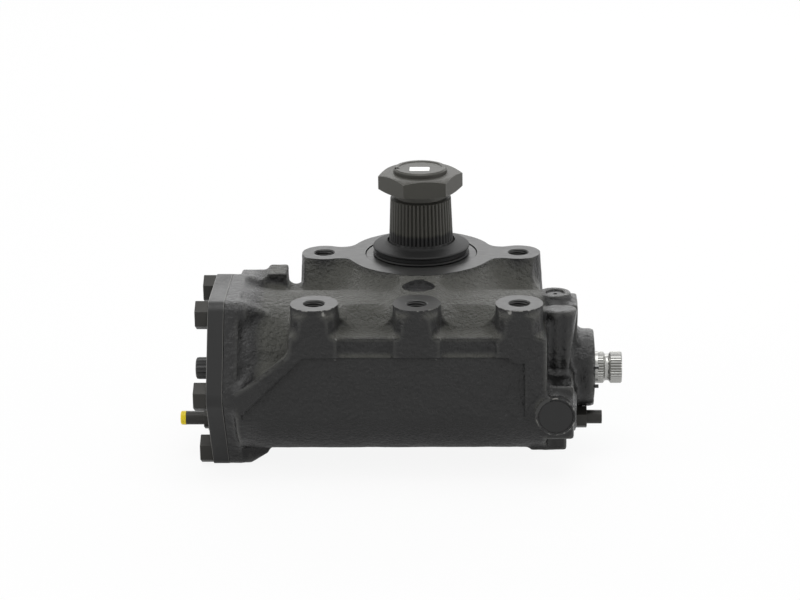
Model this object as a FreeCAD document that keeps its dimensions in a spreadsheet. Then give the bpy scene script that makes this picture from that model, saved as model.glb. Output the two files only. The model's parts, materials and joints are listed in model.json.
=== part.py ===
import FreeCAD, Part
import math
import os

import Sketcher

# Recirculating ball steering gear with hydraulic assistance, in millimetres.
# The sector shaft stands along Z at the origin, and the machined tops of the
# mounting bosses lie in the plane z = 0. The piston, the worm and the input shaft
# share an axis along X, in front of the sector shaft and below the mounting plane.

SIZES = {
    # Axes
    "axis_offset": 84,
    "axis_depth": 87,
    # Mounting bosses and their tapped holes
    "boss_span_x": 186,
    "boss_span_y": 152,
    "front_boss_dia": 43.5,
    "front_boss_height": 60,
    "back_boss_dia": 42,
    "back_boss_root_dia": 50,
    "back_boss_height": 60,
    "back_web_width": 34,
    "mount_thread_dia": 18.38,
    "mount_thread_depth": 35,
    "mount_mouth_dia": 20.5,
    # Neck round the sector shaft
    "neck_dia": 138,
    "neck_root_depth": 46,
    "case_wall": 16,
    "chamber_play": 2,
    "deck_half_length": 114,
    "deck_front": 32,
    "deck_front_depth": 28,
    "deck_back": 20,
    "deck_back_depth": 34,
    "deck_underside": 68,
    "sector_chamber_top": 50,
    "seal_seat_dia": 107.2,
    "seal_seat_depth": 12,
    "seal_carrier_sink": 0.6,
    "seal_carrier_play": 0.5,
    # Barrel and its bore
    "bore_dia": 110,
    "barrel_wall": 18,
    "barrel_end_wall": 14,
    "bore_end_play": 3.3,
    "flange_left": 177,
    "flange_thickness": 12,
    "flange_root_rise": 5,
    "flange_root_right": 128,
    "lobe_boss_step": 0.5,
    "lobe_boss_right": 157.5,
    "lobe_root_right": 141,
    "lobe_root_dia": 8,
    "cover_thickness": 15,
    "cover_spigot": 10,
    "cover_seal_width": 2.5,
    "cover_seal_land": 4.7,
    "cover_bolt_land": 21,
    "cover_bolt_count": 6,
    "cover_lobe_radius": 14,
    "cover_bolt_dia": 16,
    "cover_bolt_flats": 24,
    "cover_bolt_head": 12,
    "cover_bolt_reach": 26,
    "bolt_hole_play": 0.5,
    "bolt_end_play": 0.5,
    # Front wall of the casting
    "front_wall": 174,
    "front_wall_right": 118,
    "front_wall_round": 62,
    "front_wall_rise": 8.5,
    "ledge_depth": 27,
    "slope_foot": 150,
    "panel_recess": 1.4,
    "panel_top": 45.5,
    "panel_left": 105,
    "panel_right": 98,
    "rib_top_right": 116,
    "rib_top_depth": 42,
    "rib_left_depth": 80,
    "rib_thickness": 9,
    "rib_pocket_depth": 15,
    # Lug behind the flange
    "lug_left": 144,
    "lug_right": 126,
    "lug_top": 6,
    "lug_ledge_top": 11,
    "lug_bottom": 29,
    "lug_front": 48,
    "lug_back": 16,
    "lug_hollow_front": 38.4,
    "lug_hollow_right": 63,
    "lug_saddle_top": 25,
    # Valve end of the casting
    "tower_start": 10,
    "tower_length": 34.5,
    "tower_top": 18.5,
    "tower_front_reach": 22,
    "tower_back_reach": 18,
    "valve_case_dia": 92,
    "valve_case_length": 37,
    "end_ring_chamfer": 3,
    "end_ring_wall": 4.6,
    "valve_bore_dia": 52,
    "valve_wall": 6,
    "worm_passage_dia": 37,
    "cap_thread_dia": 64,
    "cap_thread_length": 10,
    "port_dia": 16.5,
    "port_inset": 14,
    "port_boss_dia": 29,
    "port_boss_top": 12,
    "port_depth": 20,
    "port_passage_dia": 8,
    "return_port_rise": 35,
    "blank_boss_reach": 46,
    "blank_boss_dia": 24.5,
    "blank_boss_root_dia": 11,
    "blank_boss_top": 12.5,
    "blank_boss_height": 58,
    "plug_boss_inset": 13,
    "plug_boss_drop": 14.5,
    "plug_boss_dia": 36.2,
    "plug_boss_front": 176,
    "relief_plug_dia": 31.4,
    "relief_plug_height": 9,
    "relief_plug_sink": 0.8,
    "shoulder_front": 142,
    "shoulder_top": 92,
    "shoulder_bottom": 128,
    "shoulder_step": 1.5,
    "foot_start": 1,
    "foot_length": 33,
    "foot_front": 140,
    "foot_back": 104,
    "foot_top": 120,
    "foot_bottom": 149,
    "foot_pad_start": 12,
    "foot_pad_length": 10,
    "foot_pad_drop": 2,
    "foot_pad_inset": 6,
    # Side cover under the sector chamber
    "side_seat_wall": 8,
    "side_flange_rim": 11,
    "side_flange_height": 12,
    "side_plate": 10,
    "side_spigot": 10,
    "side_hub_dia": 80,
    "side_bore_sink": 1,
    "side_seal_width": 2.5,
    "side_seal_height": 2.8,
    "side_bolt_land": 11,
    "side_bolt_count": 6,
    "side_bolt_dia": 12,
    "side_bolt_flats": 18,
    "side_bolt_head": 6.8,
    "side_bolt_engagement": 11,
    # Sector shaft
    "journal_dia": 64,
    "journal_top": 10,
    "lower_journal_dia": 52,
    "serration_rise": 3.5,
    "serration_length": 41.7,
    "serration_root_dia": 61.1,
    "serration_end_dia": 57.8,
    "serration_depth": 1.5,
    "serration_count": 48,
    "shaft_thread_dia": 50.8,
    "thread_relief": 1,
    "shaft_end_reach": 4.6,
    "shaft_chamfer": 1.5,
    "nut_gap": 8.2,
    "nut_height": 17,
    "nut_flats": 70,
    "nut_turn": 8,
    "nut_chamfer": 3,
    # Sector and rack teeth
    "pitch_radius": 48,
    "gear_module": 8,
    "pressure_angle": 25,
    "tooth_backlash": 0.3,
    "tooth_dedendum": 10,
    "sector_face": 66,
    "sector_end_play": 2,
    "sector_swing": 45,
    # Piston
    "piston_play": 0.1,
    "piston_left": 97,
    "piston_right": 62,
    "piston_ring_play": 0.03,
    "piston_ring_width": 6,
    "piston_ring_inset": 8,
    "piston_ring_depth": 5,
    "rack_flat_left": 64,
    "nut_bore_dia": 43.2,
    "nut_bore_left": 70,
    "return_pocket_width": 14,
    "return_wall": 4,
    "return_tube_wall": 1.6,
    # Ball screw
    "screw_lead": 15,
    "ball_circle_dia": 36,
    "ball_dia": 7.144,
    "worm_dia": 34,
    "worm_left": 27,
    "groove_left": 25,
    "groove_right": 97,
    "groove_play": 0.1,
    "ball_train_left": 18,
    "ball_turns": 2.5,
    "worm_bore_dia": 12.2,
    # Worm head, input shaft and torsion bar
    "head_length": 34,
    "head_play": 2,
    "rotor_start": 6,
    "rotor_end_play": 1,
    "input_dia": 30,
    "input_reach": 26.6,
    "input_serration_start": 4,
    "input_groove_start": 12.5,
    "input_groove_dia": 24.6,
    "input_groove_round": 3.6,
    "input_groove_swell": 0.4,
    "input_serration_depth": 1,
    "input_serration_count": 35,
    "torsion_bar_dia": 10,
    "torsion_bar_left": 22,
    "torsion_bar_inset": 3,
    "torsion_bar_taper": 4,
    "torsion_end_play": 1,
    "torsion_bore_dia": 12,
    "pin_dia": 4,
    "pin_inset": 7,
    # Bearings, seals and caps
    "running_play": 0.05,
    "edge_chamfer": 1,
    "bearing_wall": 7,
    "lower_bearing_wall": 6,
    "lower_bearing_inset": 1,
    "upper_bearing_bottom": 48,
    "upper_bearing_top": 14,
    "shaft_seal_step": 1.6,
    "shaft_seal_height": 10,
    "dust_cap_dia": 92,
    "dust_cap_lip": 2.9,
    "dust_cap_height": 8.7,
    "dust_cap_bore_play": 0.35,
    "dust_cap_rim": 2,
    "dust_cap_step": 1,
    "dust_cap_collar": 3,
    "thrust_bearing_width": 5,
    "thrust_bearing_play": 0.5,
    "thrust_bearing_bore_play": 4,
    "valve_ring_play": 0.05,
    "valve_ring_depth": 2,
    "valve_ring_count": 4,
    "valve_ring_width": 2,
    "valve_ring_pitch": 8,
    "cap_bore_dia": 44,
    "cap_lip_play": 2,
    "input_seal_width": 7,
    "boot_dia": 58,
    "boot_length": 1.6,
    "boot_wall": 1.2,
    "boot_collar": 4,
    # Screws and plugs
    "limiter_stand_off": 10,
    "limiter_angle": 22,
    "limiter_dia": 12.8,
    "limiter_boss_dia": 27,
    "limiter_flats": 19,
    "limiter_nut": 10,
    "limiter_right_reach": 7.8,
    "limiter_right_thread": 14.25,
    "limiter_left_reach": 30,
    "limiter_gap": 0.3,
    "limiter_cap_dia": 14.6,
    "limiter_cap_end": 2.2,
    "limiter_cap_length": 11,
    "cover_plug_dia": 29,
    "cover_plug_flange": 3,
    "cover_plug_grip_dia": 20,
    "cover_plug_grip": 15,
    "cover_plug_shank_dia": 18,
    "adjuster_dia": 14,
    "adjuster_head_dia": 23,
    "adjuster_head": 6,
    "adjuster_flats": 22,
    "adjuster_nut": 6,
    "adjuster_pocket_dia": 24,
    "adjuster_pocket": 16,
    "adjuster_head_gap": 2,
    "adjuster_float": 0.4,
    "adjuster_retainer_play": 0.3,
    "adjuster_reach": 0.5,
    "port_plug_rim": 2,
    "port_plug_depth": 12,
    "port_plug_hole_dia": 3.6,
}


class Size:
    """A length, with the text that says the same to the sheet."""

    def __init__(self, value, text):
        self.value = float(value)
        self.text = text

    def __add__(self, other):
        other = as_size(other)
        return Size(self.value + other.value, "(%s + %s)" % (self.text, other.text))

    def __sub__(self, other):
        other = as_size(other)
        return Size(self.value - other.value, "(%s - %s)" % (self.text, other.text))

    def __mul__(self, other):
        other = as_size(other)
        return Size(self.value * other.value, "(%s * %s)" % (self.text, other.text))

    def __truediv__(self, other):
        other = as_size(other)
        return Size(self.value / other.value, "(%s / %s)" % (self.text, other.text))

    def __neg__(self):
        return Size(-self.value, "(0 - %s)" % self.text)


def as_size(number):
    """A plain number as a Size."""
    if isinstance(number, Size):
        return number
    return Size(number, "(%.9f)" % number)


class Sheet:
    """The spreadsheet, read by the names of its cells."""

    def __init__(self, doc):
        self.sheet = doc.addObject("Spreadsheet::Sheet", "sizes")
        for row, (name, value) in enumerate(SIZES.items(), 1):
            self.sheet.set("A%d" % row, name)
            self.sheet.set("B%d" % row, str(value))
            self.sheet.setAlias("B%d" % row, name)
        doc.recompute()

    def __getattr__(self, name):
        return Size(self.sheet.get(name), "sizes.%s" % name)


doc = FreeCAD.newDocument("steering_gear")
size = Sheet(doc)
zero = as_size(0)

# The sizes that follow from the driving ones: the sector and its chamber
size.travel = size.pitch_radius * size.sector_swing * (math.pi / 180)
size.sector_chamber_dia = (size.pitch_radius + size.gear_module + size.chamber_play) * 2
size.sector_case_dia = size.sector_chamber_dia + size.case_wall * 2
size.side_seat_depth = size.axis_depth + size.bore_dia / 2 + size.side_seat_wall
size.sector_bottom = size.axis_depth + size.sector_face / 2
size.side_hub_height = size.side_seat_depth - size.sector_bottom - size.sector_end_play
size.side_bolt_radius = size.sector_chamber_dia / 2 + size.side_bolt_land
size.side_flange_dia = (size.side_bolt_radius + size.side_flange_rim) * 2
size.standing_depth = size.side_seat_depth + size.side_plate + size.side_bolt_head

# The upper end of the sector shaft
size.shaft_seal_dia = (size.seal_seat_dia + size.journal_dia) / 2 - size.shaft_seal_step
size.serration_bottom = size.journal_top + size.serration_rise
size.serration_top = size.serration_bottom + size.serration_length
size.nut_bottom = size.serration_top + size.nut_gap
size.shaft_top = size.nut_bottom + size.nut_height + size.shaft_end_reach

# The barrel, the piston in it and the cover on it
size.barrel_dia = size.bore_dia + size.barrel_wall * 2
size.flange_root_dia = size.barrel_dia + size.flange_root_rise * 2
size.front_wall_bottom = size.axis_depth + size.barrel_dia / 2 - size.front_wall_rise
size.bore_right = size.piston_right + size.travel + size.bore_end_play
size.barrel_right = size.bore_right + size.barrel_end_wall
size.piston_dia = size.bore_dia - size.piston_play * 2
size.piston_ring_dia = size.bore_dia - size.piston_ring_play * 2
size.cover_seal_dia = size.bore_dia + size.cover_seal_land * 2
size.cover_bolt_radius = size.bore_dia / 2 + size.cover_bolt_land

# The valve end, from the end of the bore outwards
size.valve_left = size.bore_right + size.valve_wall
size.head_left = size.valve_left + size.thrust_bearing_width
size.head_right = size.head_left + size.head_length
size.head_dia = size.valve_bore_dia - size.head_play * 2
size.valve_ring_dia = size.valve_bore_dia - size.valve_ring_play * 2
size.rotor_left = size.head_left + size.rotor_start
size.cap_thread_left = size.head_right + size.thrust_bearing_width
size.end_ring_right = size.cap_thread_left + size.cap_thread_length
size.end_ring_dia = size.cap_thread_dia + size.end_ring_wall * 2
size.boot_right = size.end_ring_right + size.boot_length
size.torsion_bar_right = size.end_ring_right - size.torsion_bar_inset
size.input_serration_left = size.end_ring_right + size.input_serration_start
size.input_groove_x = size.end_ring_right + size.input_groove_start
size.input_right = size.end_ring_right + size.input_reach
size.valve_case_right = size.bore_right + size.valve_case_length
size.tower_left = size.bore_right + size.tower_start
size.tower_right = size.tower_left + size.tower_length
size.tower_front = size.axis_offset + size.tower_front_reach
size.tower_back = size.axis_offset - size.tower_back_reach
size.port_x = size.tower_left + size.port_inset
size.return_port_depth = size.axis_depth - size.return_port_rise
size.blank_boss_y = size.axis_offset + size.blank_boss_reach
size.plug_boss_x = size.tower_left + size.plug_boss_inset
size.plug_boss_depth = size.axis_depth + size.plug_boss_drop
size.shoulder_right = size.tower_right - size.shoulder_step
size.foot_left = size.bore_right + size.foot_start
size.foot_right = size.foot_left + size.foot_length
size.foot_pad_left = size.foot_left + size.foot_pad_start
size.foot_pad_right = size.foot_pad_left + size.foot_pad_length

# The screws that limit the piston's travel, below and in front of its axis
limiter_tilt = math.radians(SIZES["limiter_angle"])
size.limiter_radius = size.end_ring_dia / 2 + size.limiter_stand_off
size.limiter_y = size.axis_offset + size.limiter_radius * math.sin(limiter_tilt)
size.limiter_depth = size.axis_depth + size.limiter_radius * math.cos(limiter_tilt)
size.limiter_right_end = size.end_ring_right + size.limiter_right_reach
size.limiter_right_seat = size.limiter_right_end - size.limiter_nut - size.limiter_right_thread
size.limiter_left_end = size.flange_left + size.cover_thickness + size.limiter_left_reach
size.limiter_cap_left = size.limiter_left_end + size.limiter_cap_end

# Share of a serration's pitch that its groove takes at the surface
GROOVE_SHARE = 0.62
# How far the tool that cuts a groove reaches past the surface, against the groove's depth
GROOVE_OVERRUN = 1.5

# The axis that a round piece is turned about
TURN = {
    "X": FreeCAD.Rotation(FreeCAD.Vector(0, 1, 0), 90),
    "Y": FreeCAD.Rotation(FreeCAD.Vector(1, 0, 0), -90),
    "Z": FreeCAD.Rotation(),
}


def bind(thing, name, length):
    """Ties one property of an object to the sheet."""
    thing.setExpression(name, as_size(length).text)


def place(thing, x, y, z, rotation):
    """Puts an object where the sheet says."""
    base = [as_size(c) for c in (x, y, z)]
    thing.Placement = FreeCAD.Placement(FreeCAD.Vector(*[c.value for c in base]), rotation)
    for letter, coordinate in zip("xyz", base):
        thing.setExpression("Placement.Base.%s" % letter, coordinate.text)
    return thing


def along(axis, start, across):
    """The point at start along an axis, and at across in the other two directions."""
    first, second = across
    return {
        "X": (start, first, second),
        "Y": (first, start, second),
        "Z": (first, second, start),
    }[axis]


def rod(label, diameter, start, stop, across, axis):
    """A cylinder from start to stop along an axis."""
    thing = doc.addObject("Part::Cylinder", label)
    bind(thing, "Radius", as_size(diameter) / 2)
    bind(thing, "Height", as_size(stop) - start)
    return place(thing, *along(axis, start, across), TURN[axis])


def taper(label, first_dia, last_dia, start, stop, across, axis):
    """A cone from start to stop along an axis."""
    thing = doc.addObject("Part::Cone", label)
    bind(thing, "Radius1", as_size(first_dia) / 2)
    bind(thing, "Radius2", as_size(last_dia) / 2)
    bind(thing, "Height", as_size(stop) - start)
    return place(thing, *along(axis, start, across), TURN[axis])


def hexagon(label, flats, start, stop, across, axis, turn=0):
    """A hexagonal prism from start to stop along an axis."""
    thing = doc.addObject("Part::Prism", label)
    thing.Polygon = 6
    bind(thing, "Circumradius", as_size(flats) / math.sqrt(3))
    bind(thing, "Height", as_size(stop) - start)
    spin = FreeCAD.Rotation(FreeCAD.Vector(0, 0, 1), turn)
    return place(thing, *along(axis, start, across), TURN[axis].multiply(spin))


def slab(label, x, y, z):
    """A box between pairs of coordinates, the lower of each pair first."""
    thing = doc.addObject("Part::Box", label)
    low = []
    for name, (first, last) in zip(("Length", "Width", "Height"), (x, y, z)):
        bind(thing, name, as_size(last) - first)
        low.append(first)
    return place(thing, *low, FreeCAD.Rotation())


def union(label, pieces):
    """One solid from several that meet."""
    thing = doc.addObject("Part::MultiFuse", label)
    thing.Shapes = pieces
    thing.Refine = True
    return thing


def minus(label, base, tools, joined=True):
    """A solid with the tools taken away. Faces that lie in one surface are joined unless told not to."""
    if len(tools) > 1:
        cutter = doc.addObject("Part::MultiFuse", label + "_cutter")
        cutter.Shapes = tools
    else:
        cutter = tools[0]
    thing = doc.addObject("Part::Cut", label)
    thing.Base = base
    thing.Tool = cutter
    thing.Refine = joined
    return thing


def group(label, pieces):
    """Separate solids kept together in one node."""
    thing = doc.addObject("Part::Compound", label)
    thing.Links = pieces
    return thing


def new_body(label):
    """An empty body."""
    body = doc.addObject("PartDesign::Body", label)
    body.Label = label
    return body


def outline(body, role, corners):
    """A closed polygon on one of the body's own planes, tied to the sheet."""
    sketch = body.newObject("Sketcher::SketchObject", body.Label + "_sketch")
    plane = [f for f in body.Origin.OriginFeatures if f.Role == role][0]
    sketch.AttachmentSupport = [(plane, "")]
    sketch.MapMode = "FlatFace"
    corners = [(as_size(x), as_size(y)) for x, y in corners]
    points = [FreeCAD.Vector(x.value, y.value, 0) for x, y in corners]
    count = len(points)
    for i in range(count):
        sketch.addGeometry(Part.LineSegment(points[i], points[(i + 1) % count]), False)
    for i in range(count):
        sketch.addConstraint(Sketcher.Constraint("Coincident", i, 2, (i + 1) % count, 1))
    for i, corner in enumerate(corners):
        for kind, length in zip(("DistanceX", "DistanceY"), corner):
            rule = Sketcher.Constraint(kind, -1, 1, i, 1, length.value)
            index = sketch.addConstraint(rule)
            sketch.setExpression("Constraints[%d]" % index, length.text)
    return sketch


def turned(label, corners, across=(zero, zero), axis="Z"):
    """A turned piece from its half section, as radius and place along the axis."""
    body = new_body(label)
    sketch = outline(body, "XZ_Plane", corners)
    turn = body.newObject("PartDesign::Revolution", label + "_turn")
    turn.Profile = sketch
    turn.ReferenceAxis = (sketch, ["V_Axis"])
    turn.Angle = 360
    body.Tip = turn
    return place(body, *along(axis, zero, across), TURN[axis])


def ring(label, inner_dia, outer_dia, start, stop, across=(zero, zero), axis="Z"):
    """A plain ring."""
    inner = as_size(inner_dia) / 2
    outer = as_size(outer_dia) / 2
    corners = [(inner, start), (outer, start), (outer, stop), (inner, stop)]
    return turned(label, corners, across, axis)


def padded(label, role, corners, length, x=zero, y=zero, z=zero):
    """A straight piece of one section."""
    body = new_body(label)
    sketch = outline(body, role, corners)
    pad = body.newObject("PartDesign::Pad", label + "_pad")
    pad.Profile = sketch
    pad.Length = as_size(length).value
    bind(pad, "Length", length)
    body.Tip = pad
    return place(body, x, y, z, FreeCAD.Rotation())


def edges_where(shape, test):
    """The names of the edges whose every corner passes a test."""
    names = []
    for number, edge in enumerate(shape.Edges, 1):
        if len(edge.Vertexes) > 1 and all(test(v.Point) for v in edge.Vertexes):
            names.append("Edge%d" % number)
    return names


def near(a, b):
    """Whether two coordinates are the same place."""
    return abs(a - as_size(b).value) < 0.01


MAIN = (-size.axis_offset, -size.axis_depth)
LIMITER = (-size.limiter_y, -size.limiter_depth)


def boss_places():
    """The five mounting bosses, front ones first."""
    half = size.boss_span_x / 2
    front = -size.boss_span_y
    return [(-half, front), (zero, front), (half, front), (-half, zero), (half, zero)]


def bolt_places(radius, centre, count):
    """Places round a circle, as pairs of coordinates."""
    places = []
    for i in range(count):
        angle = 2 * math.pi * i / count
        places.append(
            (centre[0] + radius * math.cos(angle), centre[1] + radius * math.sin(angle))
        )
    return places


def cover_bolt_places():
    return bolt_places(size.cover_bolt_radius, MAIN, SIZES["cover_bolt_count"])


def side_bolt_places():
    return bolt_places(size.side_bolt_radius, (zero, zero), SIZES["side_bolt_count"])


def rounded_hexagon(label, start, stop):
    """A plate whose six rounded corners hold the cover bolts."""
    apothem = size.cover_bolt_radius * math.cos(math.radians(30)) + size.cover_lobe_radius
    plate = hexagon(label + "_plate", apothem * 2, start, stop, MAIN, "X", 90)
    doc.recompute()
    rounded = doc.addObject("Part::Fillet", label)
    rounded.Base = plate
    length = SIZES["flange_thickness"] / 2
    radius = size.cover_lobe_radius.value
    rounded.Edges = [
        (number, radius, radius)
        for number, edge in enumerate(plate.Shape.Edges, 1)
        if abs(edge.tangentAt(edge.FirstParameter).x) > 0.9 and edge.Length > length
    ]
    return rounded


def front_block():
    """The flat front wall with its ledge, round foot, recessed panel and slanting rib."""
    left = -size.flange_left + size.flange_thickness
    corners = [
        (-size.axis_offset, size.barrel_dia / 2 - size.axis_depth),
        (-size.slope_foot, -size.ledge_depth),
        (-size.front_wall, -size.ledge_depth),
        (-size.front_wall, -size.front_wall_bottom),
        (-size.axis_offset, -size.front_wall_bottom),
    ]
    block = padded("front_block", "YZ_Plane", corners, size.front_wall_right - left, left)
    doc.recompute()
    pad = block.Tip
    foot = edges_where(
        pad.Shape,
        lambda p: near(p.y, corners[3][0]) and near(p.z, corners[3][1]),
    )
    fillet = block.newObject("PartDesign::Fillet", "front_foot_round")
    fillet.Base = (pad, foot)
    fillet.Radius = size.front_wall_round.value
    bind(fillet, "Radius", size.front_wall_round)
    block.Tip = fillet
    reach = size.front_wall - size.axis_offset
    panel = slab(
        "panel_cut",
        (-size.panel_left, size.panel_right),
        (-size.front_wall * 2, -size.front_wall + size.panel_recess),
        (-size.standing_depth, -size.panel_top),
    )
    above = [
        (left * 2, -size.rib_left_depth),
        (left, -size.rib_left_depth),
        (-size.rib_top_right, -size.rib_top_depth),
        (-size.rib_top_right, size.rib_top_depth),
        (left * 2, size.rib_top_depth),
    ]
    over_rib = padded("over_rib_cut", "XZ_Plane", above, reach * 2, zero, -size.axis_offset, zero)
    behind = [(x, z - size.rib_pocket_depth) for x, z in above]
    behind_rib = padded(
        "behind_rib_cut",
        "XZ_Plane",
        behind,
        reach - size.rib_thickness,
        zero,
        -size.axis_offset,
        zero,
    )
    return minus("front_casting", block, [panel, over_rib, behind_rib])


def valve_casting():
    """The outer forms of the valve end."""
    ring_end = turned(
        "end_ring",
        [
            (zero, size.valve_case_right),
            (size.end_ring_dia / 2, size.valve_case_right),
            (size.end_ring_dia / 2, size.end_ring_right - size.end_ring_chamfer),
            (size.end_ring_dia / 2 - size.end_ring_chamfer, size.end_ring_right),
            (zero, size.end_ring_right),
        ],
        MAIN,
        "X",
    )
    case = rod(
        "valve_case", size.valve_case_dia, size.bore_right, size.valve_case_right, MAIN, "X"
    )
    tower = slab(
        "tower",
        (size.tower_left, size.tower_right),
        (-size.tower_front, -size.tower_back),
        (-size.axis_depth, -size.tower_top),
    )
    port = rod(
        "port_boss",
        size.port_boss_dia,
        -size.axis_depth,
        -size.port_boss_top,
        (size.port_x, -size.axis_offset),
        "Z",
    )
    blank = taper(
        "blank_boss",
        size.blank_boss_root_dia,
        size.blank_boss_dia,
        -size.blank_boss_top - size.blank_boss_height,
        -size.blank_boss_top,
        (size.port_x, -size.blank_boss_y),
        "Z",
    )
    plug = rod(
        "plug_boss",
        size.plug_boss_dia,
        -size.plug_boss_front,
        -size.axis_offset,
        (size.plug_boss_x, -size.plug_boss_depth),
        "Y",
    )
    shoulder = slab(
        "shoulder",
        (size.tower_left, size.shoulder_right),
        (-size.shoulder_front, -size.axis_offset),
        (-size.shoulder_bottom, -size.shoulder_top),
    )
    foot = slab(
        "foot",
        (size.foot_left, size.foot_right),
        (-size.foot_front, -size.foot_back),
        (-size.foot_bottom, -size.foot_top),
    )
    pad = slab(
        "foot_pad",
        (size.foot_pad_left, size.foot_pad_right),
        (-size.foot_front + size.foot_pad_inset, -size.foot_back - size.foot_pad_inset),
        (-size.foot_bottom - size.foot_pad_drop, -size.foot_top),
    )
    limiter = rod(
        "limiter_boss",
        size.limiter_boss_dia,
        size.bore_right,
        size.limiter_right_seat,
        LIMITER,
        "X",
    )
    return [ring_end, case, tower, port, blank, plug, shoulder, foot, pad, limiter]


def neck_casting():
    """The neck and case round the sector shaft, and the web to the back bosses."""
    centre = (zero, zero)
    neck = rod("neck", size.neck_dia, -size.neck_root_depth, zero, centre, "Z")
    flare = taper(
        "neck_flare",
        size.sector_case_dia,
        size.neck_dia,
        -size.neck_root_depth,
        -size.seal_seat_depth,
        centre,
        "Z",
    )
    case = rod(
        "sector_case",
        size.sector_case_dia,
        -size.side_seat_depth,
        -size.seal_seat_depth,
        centre,
        "Z",
    )
    flange = rod(
        "side_flange",
        size.side_flange_dia,
        -size.side_seat_depth,
        -size.side_seat_depth + size.side_flange_height,
        centre,
        "Z",
    )
    web = slab(
        "back_web",
        (-size.boss_span_x / 2, size.boss_span_x / 2),
        (-size.back_web_width / 2, size.back_web_width / 2),
        (-size.back_boss_height, zero),
    )
    return [neck, flare, case, flange, web]


def deck_casting():
    """The body of the casting between the barrel and the back bosses."""
    corners = [
        (-size.axis_offset, size.barrel_dia / 2 - size.axis_depth),
        (-size.axis_offset, -size.axis_depth),
        (zero, -size.axis_depth),
        (size.deck_back, -size.deck_underside),
        (size.deck_back, -size.deck_back_depth),
        (-size.deck_front, -size.deck_front_depth),
    ]
    half = size.deck_half_length
    return padded("deck", "YZ_Plane", corners, half * 2, -half)


def boss_casting():
    """The columns under the five mounting bosses."""
    columns = []
    for i, centre in enumerate(boss_places()):
        if i < 3:
            column = rod(
                "front_boss_%d" % i,
                size.front_boss_dia,
                -size.front_boss_height,
                zero,
                centre,
                "Z",
            )
        else:
            column = taper(
                "back_boss_%d" % i,
                size.back_boss_root_dia,
                size.back_boss_dia,
                -size.back_boss_height,
                zero,
                centre,
                "Z",
            )
        columns.append(column)
    return columns


def lug_casting():
    """The lug on top by the flange, and the saddle from it to the back left boss."""
    left = -size.flange_left + size.flange_thickness / 2
    y = (-size.lug_front, -size.lug_back)
    ledge = slab("lug_ledge", (left, -size.lug_right), y, (-size.axis_depth, -size.lug_ledge_top))
    lug = slab(
        "lug_block",
        (-size.lug_left, -size.lug_right),
        y,
        (-size.axis_depth, -size.lug_top),
    )
    below = slab(
        "lug_hollow",
        (left, -size.lug_hollow_right),
        (-size.lug_hollow_front, zero),
        (-size.standing_depth, -size.lug_bottom),
    )
    lug_forms = minus("lug_casting", union("lug_forms", [ledge, lug]), [below])
    saddle = slab(
        "lug_saddle",
        (-size.lug_right, -size.boss_span_x / 2),
        y,
        (-size.axis_depth, -size.lug_saddle_top),
    )
    return [lug_forms, saddle]


def barrel_casting():
    """The round barrel with the bolt flange on its left end and a boss behind each lobe."""
    left = -size.flange_left
    barrel = rod("barrel", size.barrel_dia, left, size.barrel_right, MAIN, "X")
    flange = rounded_hexagon("flange", left, left + size.flange_thickness)
    root = taper(
        "flange_root",
        size.flange_root_dia,
        size.barrel_dia,
        left + size.flange_thickness,
        -size.flange_root_right,
        MAIN,
        "X",
    )
    forms = [barrel, flange, root]
    inner = left + size.flange_thickness / 2
    lobe = (size.cover_lobe_radius - size.lobe_boss_step) * 2
    for i, place_of in enumerate(cover_bolt_places()):
        forms.append(rod("lobe_boss_%d" % i, lobe, inner, -size.lobe_boss_right, place_of, "X"))
        forms.append(
            taper(
                "lobe_root_%d" % i,
                lobe,
                size.lobe_root_dia,
                -size.lobe_boss_right,
                -size.lobe_root_right,
                place_of,
                "X",
            )
        )
    return forms


def housing_hollows():
    """The bores, chambers and ports of the housing."""
    centre = (zero, zero)
    seat = -size.side_seat_depth
    tools = [
        rod("main_bore", size.bore_dia, -size.flange_left * 2, size.bore_right, MAIN, "X"),
        rod(
            "worm_passage",
            size.worm_passage_dia,
            zero,
            size.end_ring_right,
            MAIN,
            "X",
        ),
        rod(
            "valve_bore",
            size.valve_bore_dia,
            size.valve_left,
            size.end_ring_right * 2,
            MAIN,
            "X",
        ),
        rod(
            "cap_thread",
            size.cap_thread_dia,
            size.cap_thread_left,
            size.end_ring_right * 2,
            MAIN,
            "X",
        ),
        rod(
            "sector_chamber",
            size.sector_chamber_dia,
            seat * 2,
            -size.sector_chamber_top,
            centre,
            "Z",
        ),
        rod(
            "side_clearance",
            size.side_flange_dia + size.edge_chamfer * 2,
            seat * 2,
            seat,
            centre,
            "Z",
        ),
        rod(
            "upper_bearing_bore",
            size.journal_dia + size.bearing_wall * 2,
            seat,
            zero,
            centre,
            "Z",
        ),
        rod(
            "seal_seat",
            size.seal_seat_dia,
            -size.seal_seat_depth,
            size.seal_seat_depth,
            centre,
            "Z",
        ),
        rod(
            "relief_seat",
            size.relief_plug_dia,
            -size.front_wall * 2,
            -size.plug_boss_front + size.relief_plug_sink + size.relief_plug_height,
            (size.plug_boss_x, -size.plug_boss_depth),
            "Y",
        ),
        rod(
            "limiter_hole",
            size.limiter_dia,
            zero,
            size.limiter_right_end,
            LIMITER,
            "X",
        ),
        rod(
            "left_limiter_way",
            size.limiter_dia + size.bolt_hole_play * 2,
            -size.flange_left * 2,
            -size.piston_left,
            LIMITER,
            "X",
        ),
        rod(
            "port_hole",
            size.port_dia,
            -size.port_boss_top - size.port_depth,
            zero,
            (size.port_x, -size.axis_offset),
            "Z",
        ),
        rod(
            "port_passage",
            size.port_passage_dia,
            -size.axis_depth,
            -size.port_boss_top,
            (size.port_x, -size.axis_offset),
            "Z",
        ),
        rod(
            "return_port_hole",
            size.port_dia,
            -size.tower_back - size.port_depth,
            zero,
            (size.port_x, -size.return_port_depth),
            "Y",
        ),
    ]
    return tools


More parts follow.
